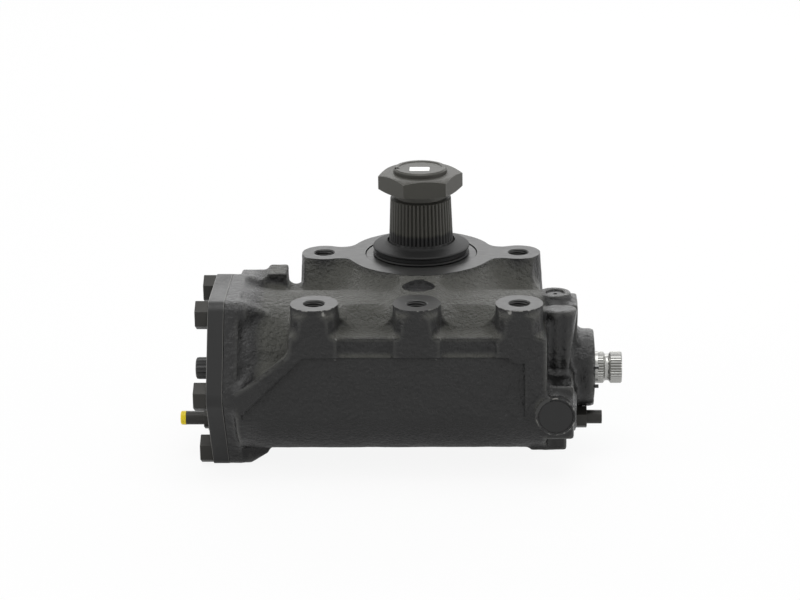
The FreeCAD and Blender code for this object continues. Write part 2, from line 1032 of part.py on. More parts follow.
def housing_holes():
    """The tapped and drilled holes of the housing."""
    seat = -size.side_seat_depth
    tools = []
    for i, place_of in enumerate(boss_places()):
        tools.append(
            rod(
                "mount_thread_%d" % i,
                size.mount_thread_dia,
                -size.mount_thread_depth,
                size.mount_thread_depth,
                place_of,
                "Z",
            )
        )
        tools.append(
            taper(
                "mount_mouth_%d" % i,
                size.mount_thread_dia,
                size.mount_mouth_dia,
                (size.mount_thread_dia - size.mount_mouth_dia) / 2,
                zero,
                place_of,
                "Z",
            )
        )
    for i, place_of in enumerate(cover_bolt_places()):
        tools.append(
            rod(
                "cover_thread_%d" % i,
                size.cover_bolt_dia,
                -size.flange_left * 2,
                -size.flange_left
                - size.cover_thickness
                + size.cover_bolt_reach
                + size.bolt_end_play,
                place_of,
                "X",
            )
        )
    for i, place_of in enumerate(side_bolt_places()):
        tools.append(
            rod(
                "side_thread_%d" % i,
                size.side_bolt_dia,
                seat * 2,
                seat + size.side_bolt_engagement + size.bolt_end_play,
                place_of,
                "Z",
            )
        )
    return tools


def housing():
    """The cast housing: forms first, then the bores, and the holes last.
    The neck and the bosses are joined first, so that their tops are one face."""
    mounting = union("mounting_casting", neck_casting() + boss_casting())
    forms = [mounting] + barrel_casting() + valve_casting()
    forms += lug_casting() + [front_block(), deck_casting()]
    bored = minus("bored_casting", union("casting", forms), housing_hollows(), joined=False)
    return minus("housing", bored, housing_holes(), joined=False)


def cylinder_cover():
    """The end cover, with its spigot in the bore and its holes."""
    inner = -size.flange_left
    outer = inner - size.cover_thickness
    plate = rounded_hexagon("cover_plate", outer, inner)
    spigot_dia = size.bore_dia - size.running_play * 2
    spigot = rod("cover_spigot", spigot_dia, inner, inner + size.cover_spigot, MAIN, "X")
    hole_dia = size.cover_bolt_dia + size.bolt_hole_play * 2
    holes = [
        rod("cover_hole_%d" % i, hole_dia, outer, inner, place_of, "X")
        for i, place_of in enumerate(cover_bolt_places())
    ]
    holes.append(
        rod("cover_plug_hole", size.cover_plug_shank_dia, outer, zero, MAIN, "X")
    )
    holes.append(rod("cover_limiter_hole", size.limiter_dia, outer, zero, LIMITER, "X"))
    groove = ring(
        "cover_seal_groove",
        size.cover_seal_dia,
        size.cover_seal_dia + size.cover_seal_width * 2,
        inner - size.cover_seal_width,
        inner + size.cover_seal_width,
        MAIN,
        "X",
    )
    return minus("cylinder_cover", union("cover_forms", [plate, spigot]), holes + [groove])


def cover_seal():
    """The sealing ring in the face of the end cover."""
    return ring(
        "cover_seal",
        size.cover_seal_dia,
        size.cover_seal_dia + size.cover_seal_width * 2,
        -size.flange_left - size.cover_seal_width,
        -size.flange_left,
        MAIN,
        "X",
    )


def bolts(label, places, diameter, flats, head_start, head_stop, tip, axis):
    """Hexagon head bolts, one at each place, with their tips further along the axis."""
    made = []
    for i, place_of in enumerate(places):
        head = hexagon("%s_head_%d" % (label, i), flats, head_start, head_stop, place_of, axis)
        shank = rod("%s_shank_%d" % (label, i), diameter, head_stop, tip, place_of, axis)
        made.append(union("%s_%d" % (label, i), [head, shank]))
    return group(label, made)


def cover_bolts():
    """The six bolts of the end cover."""
    seat = -size.flange_left - size.cover_thickness
    return bolts(
        "cover_bolts",
        cover_bolt_places(),
        size.cover_bolt_dia,
        size.cover_bolt_flats,
        seat - size.cover_bolt_head,
        seat,
        seat + size.cover_bolt_reach,
        "X",
    )


def cover_plug():
    """The plastic plug in the middle of the end cover."""
    seat = -size.flange_left - size.cover_thickness
    outer = seat - size.cover_plug_flange
    corners = [
        (zero, outer - size.cover_plug_grip),
        (size.cover_plug_grip_dia / 2 - size.edge_chamfer, outer - size.cover_plug_grip),
        (size.cover_plug_grip_dia / 2, outer - size.cover_plug_grip + size.edge_chamfer),
        (size.cover_plug_grip_dia / 2, outer),
        (size.cover_plug_dia / 2, outer),
        (size.cover_plug_dia / 2, seat),
        (size.cover_plug_shank_dia / 2, seat),
        (size.cover_plug_shank_dia / 2, seat + size.cover_thickness),
        (zero, seat + size.cover_thickness),
    ]
    return turned("cover_plug", corners, MAIN, "X")


def side_cover():
    """The cover under the sector, with a hub for the lower bearing."""
    seat = -size.side_seat_depth
    bottom = seat - size.side_plate
    inside = size.lower_journal_dia / 2 + size.lower_bearing_wall
    corners = [
        (size.adjuster_dia / 2, bottom),
        (size.side_flange_dia / 2, bottom),
        (size.side_flange_dia / 2, seat),
        (size.sector_chamber_dia / 2 - size.running_play, seat),
        (size.sector_chamber_dia / 2 - size.running_play, seat + size.side_spigot),
        (size.side_hub_dia / 2, seat + size.side_spigot),
        (size.side_hub_dia / 2, seat + size.side_hub_height),
        (inside, seat + size.side_hub_height),
        (inside, seat - size.side_bore_sink),
        (size.adjuster_dia / 2, seat - size.side_bore_sink),
    ]
    cover = turned("side_cover_turned", corners)
    hole_dia = size.side_bolt_dia + size.bolt_hole_play * 2
    holes = [
        rod("side_hole_%d" % i, hole_dia, bottom, seat, place_of, "Z")
        for i, place_of in enumerate(side_bolt_places())
    ]
    middle = seat + size.side_spigot / 2
    reach = size.side_seal_height / 2 + size.running_play * 2
    groove = ring(
        "side_seal_groove",
        size.sector_chamber_dia - size.side_seal_width * 2,
        size.sector_chamber_dia + size.side_seal_width * 2,
        middle - reach,
        middle + reach,
    )
    return minus("side_cover", cover, holes + [groove])


def side_cover_seal():
    """The sealing ring round the spigot of the side cover."""
    middle = -size.side_seat_depth + size.side_spigot / 2
    return ring(
        "side_cover_seal",
        size.sector_chamber_dia - size.side_seal_width * 2,
        size.sector_chamber_dia,
        middle - size.side_seal_height / 2,
        middle + size.side_seal_height / 2,
    )


def side_cover_bolts():
    """The six bolts of the side cover."""
    seat = -size.side_seat_depth - size.side_plate
    return bolts(
        "side_cover_bolts",
        side_bolt_places(),
        size.side_bolt_dia,
        size.side_bolt_flats,
        seat - size.side_bolt_head,
        seat,
        -size.side_seat_depth + size.side_bolt_engagement,
        "Z",
    )


def involute_point(base, radius, turn):
    """A point of an involute at a radius, as an angle from the middle of the tooth."""
    roll = math.acos(base / radius)
    return turn - (math.tan(roll) - roll)


def sector_teeth():
    """Three involute teeth on their hub, as one prism.

    The rack stands at the pitch line, so the tooth's flank is an involute of the circle that
    the pressure angle gives. Each flank is an arc through its foot, pitch point and tip.
    """
    pitch = size.pitch_radius.value
    module = size.gear_module.value
    pressure = math.radians(size.pressure_angle.value)
    root = pitch - size.tooth_dedendum.value
    tip = pitch + module
    base = pitch * math.cos(pressure)
    half = (math.pi * module / 2 - size.tooth_backlash.value) / 2 / pitch
    turn = half + math.tan(pressure) - pressure
    step = math.pi * module / pitch

    def at(radius, angle):
        return FreeCAD.Vector(radius * math.cos(angle), radius * math.sin(angle), 0)

    edges = []
    first = -math.pi / 2 - step
    last = None
    middle = (base + tip) / 2
    for i in range(3):
        centre = first + i * step
        foot = involute_point(base, base, turn)
        mid = involute_point(base, middle, turn)
        top = involute_point(base, tip, turn)
        start = at(root, centre - foot)
        if last is None:
            opening = start
        else:
            between = at(root, centre - step / 2)
            edges.append(Part.Arc(last, between, start).toShape())
        edges.append(Part.makeLine(start, at(base, centre - foot)))
        rising = [at(base, centre - foot), at(middle, centre - mid), at(tip, centre - top)]
        crest = [rising[-1], at(tip, centre), at(tip, centre + top)]
        falling = [crest[-1], at(middle, centre + mid), at(base, centre + foot)]
        for three in (rising, crest, falling):
            edges.append(Part.Arc(*three).toShape())
        last = at(root, centre + foot)
        edges.append(Part.makeLine(at(base, centre + foot), last))
    hub = size.journal_dia.value / 2
    left = at(hub, first - 2 * step)
    right = at(hub, first + 4 * step)
    edges.append(Part.makeLine(last, right))
    edges.append(Part.Arc(right, at(hub, math.pi / 2), left).toShape())
    edges.append(Part.makeLine(left, opening))
    face = Part.Face(Part.Wire(Part.__sortEdges__(edges)))
    thing = doc.addObject("Part::Feature", "sector_teeth")
    face_width = size.sector_face.value
    thing.Shape = face.extrude(FreeCAD.Vector(0, 0, face_width))
    thing.Placement = FreeCAD.Placement(
        FreeCAD.Vector(0, 0, -size.axis_depth.value - face_width / 2), FreeCAD.Rotation()
    )
    return thing


def serrated(label, corners, root_dia, end_dia, start, stop, depth, count):
    """A turned shaft with a ring of vee shaped serrations cut in it."""
    body = turned(label, corners)
    lean = math.degrees(
        math.atan((root_dia.value - end_dia.value) / 2 / (stop.value - start.value))
    )
    half_groove = root_dia * (math.pi / count * GROOVE_SHARE / 2)
    proud = root_dia / 2 + depth * (GROOVE_OVERRUN - 1)
    corners = [
        (root_dia / 2 - depth, zero),
        (proud, half_groove * GROOVE_OVERRUN),
        (proud, -half_groove * GROOVE_OVERRUN),
    ]
    sketch = outline(body, "XY_Plane", corners)
    sketch.AttachmentOffset = FreeCAD.Placement(
        FreeCAD.Vector(0, 0, start.value),
        FreeCAD.Rotation(FreeCAD.Vector(0, 1, 0), -lean),
    )
    sketch.setExpression("AttachmentOffset.Base.z", start.text)
    doc.recompute()
    pocket = body.newObject("PartDesign::Pocket", label + "_serration")
    pocket.Profile = sketch
    pocket.Reversed = True
    run = stop - start + depth
    pocket.Length = run.value
    bind(pocket, "Length", run)
    doc.recompute()
    pattern = body.newObject("PartDesign::PolarPattern", label + "_serrations")
    pattern.Originals = [pocket]
    pattern.Axis = ([f for f in body.Origin.OriginFeatures if f.Role == "Z_Axis"][0], [""])
    pattern.Angle = 360
    pattern.Occurrences = int(count)
    body.Tip = pattern
    return body


def sector_shaft():
    """The output shaft with its sector, tapered serration and threaded end."""
    thread = size.shaft_thread_dia / 2
    bottom = -size.side_seat_depth
    relief = size.thread_relief
    corners = [
        (zero, bottom + size.adjuster_pocket),
        (size.adjuster_pocket_dia / 2, bottom + size.adjuster_pocket),
        (size.adjuster_pocket_dia / 2, bottom),
        (size.lower_journal_dia / 2, bottom),
        (size.lower_journal_dia / 2, -size.sector_bottom),
        (size.journal_dia / 2, -size.sector_bottom),
        (size.journal_dia / 2, size.journal_top),
        (size.serration_root_dia / 2, size.serration_bottom),
        (size.serration_end_dia / 2, size.serration_top),
        (thread - relief, size.serration_top + relief),
        (thread - relief, size.nut_bottom - relief * 2),
        (thread, size.nut_bottom - relief),
        (thread, size.shaft_top - size.shaft_chamfer),
        (thread - size.shaft_chamfer, size.shaft_top),
        (zero, size.shaft_top),
    ]
    shaft = serrated(
        "sector_shaft_turned",
        corners,
        size.serration_root_dia,
        size.serration_end_dia,
        size.serration_bottom,
        size.serration_top,
        size.serration_depth,
        SIZES["serration_count"],
    )
    return union("sector_shaft", [shaft, sector_teeth()])


def pitman_nut():
    """The large nut on the threaded end of the sector shaft."""
    centre = (zero, zero)
    bottom = size.nut_bottom
    top = bottom + size.nut_height
    block = hexagon("nut_block", size.nut_flats, bottom, top, centre, "Z", SIZES["nut_turn"])
    corner = size.nut_flats / math.sqrt(3)
    face = size.nut_flats / 2
    skirt = turned(
        "nut_envelope",
        [
            (size.shaft_thread_dia / 2, bottom),
            (face, bottom),
            (corner, bottom + size.nut_chamfer / 2),
            (corner, top - size.nut_chamfer),
            (face - size.edge_chamfer, top),
            (size.shaft_thread_dia / 2, top),
        ],
    )
    nut = doc.addObject("Part::MultiCommon", "pitman_nut")
    nut.Shapes = [block, skirt]
    return nut


def upper_bearing():
    """The needle bearing in the neck, as one ring."""
    return ring(
        "upper_bearing",
        size.journal_dia + size.running_play * 2,
        size.journal_dia + size.bearing_wall * 2,
        -size.upper_bearing_bottom,
        -size.upper_bearing_top,
    )


def lower_bearing():
    """The needle bearing in the side cover, as one ring."""
    seat = -size.side_seat_depth
    return ring(
        "lower_bearing",
        size.lower_journal_dia + size.running_play * 2,
        size.lower_journal_dia + size.lower_bearing_wall * 2,
        seat + size.lower_bearing_inset,
        seat + size.side_hub_height - size.lower_bearing_inset,
    )


def seal_carrier():
    """The ring that closes the neck, a little below the mounting plane."""
    return ring(
        "seal_carrier",
        size.shaft_seal_dia,
        size.seal_seat_dia - size.seal_carrier_play * 2,
        -size.seal_seat_depth,
        -size.seal_carrier_sink,
    )


def shaft_seal():
    """The lip seal of the sector shaft."""
    top = -(size.seal_seat_depth - size.shaft_seal_height) / 2
    return ring(
        "shaft_seal",
        size.journal_dia + size.running_play * 2,
        size.shaft_seal_dia,
        top - size.shaft_seal_height,
        top,
    )


def dust_cap():
    """The rubber cap over the seal, with its lip close to the shaft."""
    inner = size.journal_dia / 2 + size.dust_cap_bore_play
    outer = size.dust_cap_dia / 2
    foot = -size.seal_carrier_sink
    corners = [
        (inner, foot),
        (outer, foot),
        (outer, size.dust_cap_lip),
        (outer - size.dust_cap_rim, size.dust_cap_lip + size.dust_cap_step),
        (inner + size.dust_cap_collar, size.dust_cap_height),
        (inner, size.dust_cap_height),
    ]
    return turned("dust_cap", corners)


def adjusting_screw():
    """The screw that sets the sector's end play, with its head in the shaft."""
    bottom = -size.side_seat_depth
    head = bottom + size.adjuster_pocket - size.adjuster_head_gap
    end = bottom - size.side_plate - size.adjuster_nut - size.adjuster_reach
    corners = [
        (zero, end),
        (size.adjuster_dia / 2 - size.edge_chamfer, end),
        (size.adjuster_dia / 2, end + size.edge_chamfer),
        (size.adjuster_dia / 2, head - size.adjuster_head),
        (size.adjuster_head_dia / 2, head - size.adjuster_head),
        (size.adjuster_head_dia / 2, head),
        (zero, head),
    ]
    return turned("adjusting_screw", corners)


def adjuster_retainer():
    """The ring that holds the head of the adjusting screw in the sector shaft."""
    bottom = -size.side_seat_depth
    head = bottom + size.adjuster_pocket - size.adjuster_head_gap
    return ring(
        "adjuster_retainer",
        size.adjuster_dia + size.adjuster_retainer_play * 2,
        size.adjuster_pocket_dia,
        bottom,
        head - size.adjuster_head - size.adjuster_float,
    )


def hollow_nut(label, flats, diameter, start, stop, across, axis):
    """A hexagon nut with its hole."""
    block = hexagon(label + "_block", flats, start, stop, across, axis)
    hole = rod(label + "_hole", diameter, start, stop, across, axis)
    return minus(label, block, [hole])


def adjusting_nut():
    """The lock nut of the adjusting screw."""
    seat = -size.side_seat_depth - size.side_plate
    return hollow_nut(
        "adjusting_nut",
        size.adjuster_flats,
        size.adjuster_dia,
        seat - size.adjuster_nut,
        seat,
        (zero, zero),
        "Z",
    )


def rack_cut():
    """What is milled away over and between the rack teeth, seen from above.

    The middle gap stands on the line of centres, where the sector's middle tooth is at rest.
    """
    lean = math.tan(math.radians(SIZES["pressure_angle"]))
    pitch_line = -size.pitch_radius
    top = pitch_line + size.gear_module
    root = pitch_line - size.tooth_dedendum
    half_gap = size.tooth_backlash / 2 + size.gear_module * (math.pi / 4)
    wide = half_gap + size.gear_module * lean
    narrow = half_gap - size.tooth_dedendum * lean
    corners = [(-size.rack_flat_left, top)]
    for i in (-1, 0, 1):
        centre = size.gear_module * (math.pi * i)
        corners += [
            (centre - wide, top),
            (centre - narrow, root),
            (centre + narrow, root),
            (centre + wide, top),
        ]
    right = size.piston_right * 2
    corners += [(right, top), (right, zero), (-size.rack_flat_left, zero)]
    return padded(
        "rack_cut",
        "XY_Plane",
        corners,
        size.bore_dia * 2,
        zero,
        zero,
        -size.axis_depth - size.bore_dia,
    )


def piston():
    """The piston with its rack, ring groove, blind bore and ball return pocket."""
    outer = size.piston_dia / 2
    left = -size.piston_left
    chamfer = size.edge_chamfer
    groove = left + size.piston_ring_inset
    corners = [
        (zero, left),
        (outer - chamfer, left),
        (outer, left + chamfer),
        (outer, groove),
        (outer - size.piston_ring_depth, groove),
        (outer - size.piston_ring_depth, groove + size.piston_ring_width),
        (outer, groove + size.piston_ring_width),
        (outer, size.piston_right - chamfer),
        (outer - chamfer, size.piston_right),
        (size.nut_bore_dia / 2, size.piston_right),
        (size.nut_bore_dia / 2, -size.nut_bore_left),
        (zero, -size.nut_bore_left),
    ]
    blank = turned("piston_blank", corners, MAIN, "X")
    start = size.ball_train_left
    stop = start + size.screw_lead * size.ball_turns
    half = size.return_pocket_width / 2
    floor = -size.axis_offset - size.nut_bore_dia / 2 - size.return_wall
    pocket = slab(
        "return_pocket",
        (start - half, stop + half),
        (-size.axis_offset - size.bore_dia, floor),
        (-size.axis_depth - half, -size.axis_depth + half),
    )
    return minus("piston", blank, [rack_cut(), pocket])


def piston_ring():
    """The sealing ring in the piston's groove."""
    start = -size.piston_left + size.piston_ring_inset
    return ring(
        "piston_ring",
        size.piston_dia - size.piston_ring_depth * 2,
        size.piston_ring_dia,
        start,
        start + size.piston_ring_width,
        MAIN,
        "X",
    )


def return_tube():
    """The bridge that carries the balls back, in the pocket of the piston."""
    start = size.ball_train_left
    stop = start + size.screw_lead * size.ball_turns
    bottom = -size.axis_offset - size.nut_bore_dia / 2 - size.return_wall
    width = size.ball_dia / 2 + size.return_tube_wall
    tube = slab(
        "return_bridge",
        (start - width, stop + width),
        (bottom - width * 2, bottom),
        (-size.axis_depth - width, -size.axis_depth + width),
    )
    doc.recompute()
    return_piece = doc.addObject("Part::Fillet", "ball_return_guide")
    return_piece.Base = tube
    radius = width.value / 2
    return_piece.Edges = [
        (number, radius, radius)
        for number, edge in enumerate(tube.Shape.Edges, 1)
        if all(near(v.Y, bottom - width * 2) for v in edge.Vertexes)
    ]
    return return_piece


def ball_train():
    """The balls between worm and piston, each as a faceted solid inside its sphere."""
    radius = size.ball_dia.value / 2
    circle = size.ball_circle_dia.value / 2
    lead = size.screw_lead.value
    per_turn = int(math.pi * size.ball_circle_dia.value / size.ball_dia.value)
    sides = 10
    bands = 5
    rings = []
    for band in range(1, bands):
        tilt = math.pi * band / bands
        rings.append(
            [
                FreeCAD.Vector(
                    radius * math.sin(tilt) * math.cos(2 * math.pi * side / sides),
                    radius * math.sin(tilt) * math.sin(2 * math.pi * side / sides),
                    radius * math.cos(tilt),
                )
                for side in range(sides)
            ]
        )
    top = FreeCAD.Vector(0, 0, radius)
    faces = []
    for side in range(sides):
        after = (side + 1) % sides
        faces.append([top, rings[0][side], rings[0][after]])
        faces.append([-top, rings[-1][after], rings[-1][side]])
        for upper, lower in zip(rings, rings[1:]):
            faces.append([upper[side], lower[side], lower[after], upper[after]])
    shell = Part.Shell([Part.Face(Part.makePolygon(f + f[:1])) for f in faces])
    ball = Part.Solid(shell)
    balls = []
    for i in range(int(per_turn * size.ball_turns.value)):
        angle = 2 * math.pi * i / per_turn
        copy = ball.copy()
        copy.translate(
            FreeCAD.Vector(
                size.ball_train_left.value + lead * i / per_turn,
                -size.axis_offset.value - circle * math.sin(angle),
                -size.axis_depth.value + circle * math.cos(angle),
            )
        )
        balls.append(copy)
    thing = doc.addObject("Part::Feature", "recirculating_balls")
    thing.Shape = Part.makeCompound(balls)
    return thing


def worm_groove():
    """The helical vee groove that the balls run in."""
    lead = size.screw_lead.value
    radius = size.worm_dia.value / 2
    apex = (size.ball_circle_dia.value - size.ball_dia.value * math.sqrt(2)) / 2
    apex -= size.groove_play.value
    proud = radius + 1
    section = Part.makePolygon(
        [
            FreeCAD.Vector(apex, 0, 0),
            FreeCAD.Vector(proud, 0, proud - apex),
            FreeCAD.Vector(proud, 0, apex - proud),
            FreeCAD.Vector(apex, 0, 0),
        ]
    )
    length = size.groove_left.value + size.groove_right.value
    helix = Part.Wire(Part.makeHelix(lead, length, radius))
    thing = doc.addObject("Part::Feature", "worm_groove")
    sweep = helix.makePipeShell([section], True, True)
    # The first ball lies above the axis, so the helix is turned to pass through it.
    turns = (size.ball_train_left.value + size.groove_left.value) / lead
    start = FreeCAD.Rotation(FreeCAD.Vector(0, 0, 1), 180 - 360 * turns)
    thing.Shape = sweep
    thing.Placement = FreeCAD.Placement(
        FreeCAD.Vector(-size.groove_left.value, -size.axis_offset.value, -size.axis_depth.value),
        TURN["X"].multiply(start),
    )
    return thing


def worm():
    """The hollow worm, with the valve sleeve as its head."""
    thread = size.worm_dia / 2
    head = size.head_dia / 2
    bore = size.worm_bore_dia / 2
    sleeve = size.input_dia / 2 + size.running_play
    corners = [
        (bore, -size.worm_left),
        (thread, -size.worm_left),
        (thread, size.head_left),
        (head, size.head_left),
    ]
    floor = head - size.valve_ring_depth
    for x in valve_ring_places():
        stop = x + size.valve_ring_width
        corners += [(head, x), (floor, x), (floor, stop), (head, stop)]
    corners += [
        (head, size.head_right),
        (sleeve, size.head_right),
        (sleeve, size.rotor_left - size.rotor_end_play),
        (bore, size.rotor_left - size.rotor_end_play),
    ]
    blank = turned("worm_blank", corners, MAIN, "X")
    pin = rod(
        "worm_pin_hole",
        size.pin_dia,
        -size.axis_depth - size.worm_dia,
        -size.axis_depth + size.worm_dia,
        (-size.torsion_bar_left + size.pin_inset, -size.axis_offset),
        "Z",
    )
    return minus("worm", blank, [worm_groove(), pin])


def valve_ring_places():
    """Where each sealing ring of the worm head starts."""
    first = size.head_left + size.valve_ring_width * 2
    return [first + size.valve_ring_pitch * i for i in range(SIZES["valve_ring_count"])]


def valve_seal_rings():
    """The sealing rings round the worm head."""
    rings = [
        ring(
            "valve_ring_%d" % i,
            size.head_dia - size.valve_ring_depth * 2,
            size.valve_ring_dia,
            x,
            x + size.valve_ring_width,
            MAIN,
            "X",
        )
        for i, x in enumerate(valve_ring_places())
    ]
    return group("valve_seal_rings", rings)


def torsion_bar():
    """The torsion bar from the worm to the input shaft."""
    bar = size.torsion_bar_dia / 2
    end = size.worm_bore_dia / 2
    left = -size.torsion_bar_left
    corners = [
        (zero, left),
        (end, left),
        (end, left + size.pin_inset * 2),
        (bar, left + size.pin_inset * 2 + size.torsion_bar_taper),
        (bar, size.torsion_bar_right),
        (zero, size.torsion_bar_right),
    ]
    blank = turned("torsion_bar_turned", corners, MAIN, "X")
    hole = rod(
        "torsion_pin_hole",
        size.pin_dia,
        -size.axis_depth - size.worm_dia,
        -size.axis_depth + size.worm_dia,
        (left + size.pin_inset, -size.axis_offset),
        "Z",
    )
    return minus("torsion_bar", blank, [hole])


def torsion_pin():
    """The pin that holds the torsion bar in the worm."""
    reach = size.worm_dia / 2 - size.ball_dia / 2
    return rod(
        "torsion_pin",
        size.pin_dia,
        -size.axis_depth - reach,
        -size.axis_depth + reach,
        (-size.torsion_bar_left + size.pin_inset, -size.axis_offset),
        "Z",
    )


def input_shaft():
    """The input shaft, with the valve rotor inside the worm head."""
    outer = size.input_dia / 2
    bore = size.torsion_bore_dia / 2
    waist = size.input_groove_dia / 2
    middle = size.input_groove_x
    half = size.input_groove_round
    right = size.input_right
    corners = [
        (bore, size.rotor_left),
        (outer, size.rotor_left),
        (outer, middle - half),
        (waist + size.input_groove_swell, middle - half / 2),
        (waist, middle),
        (waist + size.input_groove_swell, middle + half / 2),
        (outer, middle + half),
        (outer, right - size.edge_chamfer),
        (outer - size.edge_chamfer, right),
        (zero, right),
        (zero, size.torsion_bar_right + size.torsion_end_play),
        (bore, size.torsion_bar_right + size.torsion_end_play),
    ]
    shaft = serrated(
        "input_shaft",
        corners,
        size.input_dia,
        size.input_dia,
        size.input_serration_left,
        right,
        size.input_serration_depth,
        SIZES["input_serration_count"],
    )
    return place(shaft, zero, -size.axis_offset, -size.axis_depth, TURN["X"])


def thrust_bearings():
    """The two thrust bearings of the worm head."""
    width = size.thrust_bearing_width
    inner = ring(
        "inner_thrust_bearing",
        size.worm_dia + size.running_play * 2,
        size.valve_bore_dia - size.thrust_bearing_play * 2,
        size.head_left - width,
        size.head_left - size.running_play,
        MAIN,
        "X",
    )
    outer = ring(
        "outer_thrust_bearing",
        size.input_dia + size.thrust_bearing_bore_play * 2,
        size.valve_bore_dia - size.thrust_bearing_play * 2,
        size.head_right + size.running_play,
        size.head_right + width,
        MAIN,
        "X",
    )
    return [inner, outer]


def bearing_cap():
    """The threaded cap that holds the worm's bearings."""
    outer = size.cap_thread_dia / 2
    left = size.cap_thread_left
    seal = size.end_ring_right - size.input_seal_width
    lip = size.input_dia / 2 + size.cap_lip_play
    corners = [
        (lip, left),
        (outer, left),
        (outer, size.end_ring_right),
        (size.cap_bore_dia / 2, size.end_ring_right),
        (size.cap_bore_dia / 2, seal),
        (lip, seal),
    ]
    return turned("bearing_cap", corners, MAIN, "X")


def input_seal():
    """The lip seal of the input shaft."""
    return ring(
        "input_seal",
        size.input_dia + size.running_play * 2,
        size.cap_bore_dia,
        size.end_ring_right - size.input_seal_width,
        size.end_ring_right,
        MAIN,
        "X",
    )


def input_boot():
    """The rubber boot in front of the input seal."""
    inner = size.input_dia / 2 + size.dust_cap_bore_play
    start = size.end_ring_right
    corners = [
        (inner, start + size.boot_wall / 2),
        (size.boot_dia / 2 - size.boot_wall, start),
        (size.boot_dia / 2, start),
        (size.boot_dia / 2, start + size.boot_wall / 2),
        (inner + size.boot_collar, size.boot_right),
        (inner, size.boot_right),
    ]
    return turned("input_boot", corners, MAIN, "X")


def limiters():
    """The two screws that stop the piston, with their lock nuts and the cap on one."""
    travel = size.travel + size.limiter_gap
    cover_face = -size.flange_left - size.cover_thickness
    left_screw = rod(
        "left_limiter_screw",
        size.limiter_dia,
        -size.limiter_left_end,
        -size.piston_left - travel,
        LIMITER,
        "X",
    )
    right_screw = rod(
        "right_limiter_screw",
        size.limiter_dia,
        size.piston_right + travel,
        size.limiter_right_end,
        LIMITER,
        "X",
    )
    left_nut = hollow_nut(
        "left_limiter_nut",
        size.limiter_flats,
        size.limiter_dia,
        cover_face - size.limiter_nut,
        cover_face,
        LIMITER,
        "X",
    )
    right_nut = hollow_nut(
        "right_limiter_nut",
        size.limiter_flats,
        size.limiter_dia,
        size.limiter_right_seat,
        size.limiter_right_seat + size.limiter_nut,
        LIMITER,
        "X",
    )
    cap_inner = size.limiter_dia / 2
    cap_end = -size.limiter_cap_left
    cap = turned(
        "left_limiter_cap",
        [
            (zero, cap_end),
            (size.limiter_cap_dia / 2 - size.edge_chamfer, cap_end),
            (size.limiter_cap_dia / 2, cap_end + size.edge_chamfer),
            (size.limiter_cap_dia / 2, cap_end + size.limiter_cap_length),
            (cap_inner, cap_end + size.limiter_cap_length),
            (cap_inner, -size.limiter_left_end),
            (zero, -size.limiter_left_end),
        ],
        LIMITER,
        "X",
    )
    return [left_screw, right_screw, left_nut, right_nut, cap]


def port_plug(label, start, across, axis):
    """A plastic plug in a port, with a small hole in its middle."""
    rim = size.port_dia / 2
    hole = size.port_plug_hole_dia / 2
    outside = start - size.port_plug_rim
    corners = [
        (zero, start - size.port_plug_depth),
        (rim, start - size.port_plug_depth),
        (rim, outside),
        (hole, outside),
        (hole, outside - size.port_plug_rim),
        (zero, outside - size.port_plug_rim),
    ]
    return turned(label, corners, across, axis)


def relief_plug():
    """The round plug in the front boss of the valve end."""
    face = -size.plug_boss_front + size.relief_plug_sink
    seat = face + size.relief_plug_height
    outer = size.relief_plug_dia / 2
    corners = [
        (zero, face),
        (outer - size.edge_chamfer, face),
        (outer, face + size.edge_chamfer),
        (outer, seat),
        (zero, seat),
    ]
    across = (size.plug_boss_x, -size.plug_boss_depth)
    return turned("relief_valve_plug", corners, across, "Y")


def build():
    """Every sub-part of the steering gear."""
    pressure_port = (size.port_x, -size.axis_offset)
    return_port = (size.port_x, -size.return_port_depth)
    parts = [
        housing(),
        cylinder_cover(),
        cover_seal(),
        cover_bolts(),
        cover_plug(),
        side_cover(),
        side_cover_seal(),
        side_cover_bolts(),
        sector_shaft(),
        pitman_nut(),
        upper_bearing(),
        lower_bearing(),
        seal_carrier(),
        shaft_seal(),
        dust_cap(),
        adjusting_screw(),
        adjuster_retainer(),
        adjusting_nut(),
        piston(),
        piston_ring(),
        return_tube(),
        ball_train(),
        worm(),
        valve_seal_rings(),
        torsion_bar(),
        torsion_pin(),
        input_shaft(),
        bearing_cap(),
        input_seal(),
        input_boot(),
        port_plug("pressure_port_plug", -size.port_boss_top, pressure_port, "Z"),
        port_plug("return_port_plug", -size.tower_back, return_port, "Y"),
        relief_plug(),
    ]
    return parts + thrust_bearings() + limiters()


def check(parts):
    """Stops on any object that failed and any sub-part that isn't a sound solid."""
    for thing in doc.Objects:
        if "Invalid" in thing.State or "Error" in thing.State:
            raise RuntimeError("%s failed to build" % thing.Label)
    for part in parts:
        shape = part.Shape
        if shape.isNull() or not shape.isValid() or not shape.Solids:
            raise RuntimeError("%s has no sound solid" % part.Label)


parts = build()
doc.recompute()
check(parts)
os.makedirs("parts", exist_ok=True)
for part in parts:
    part.Shape.exportStep("parts/%s.step" % part.Label)
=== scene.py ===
import json
import math

import bmesh
import bpy
from bpy.props import FloatProperty, FloatVectorProperty, PointerProperty, StringProperty
from mathutils import Matrix, Vector

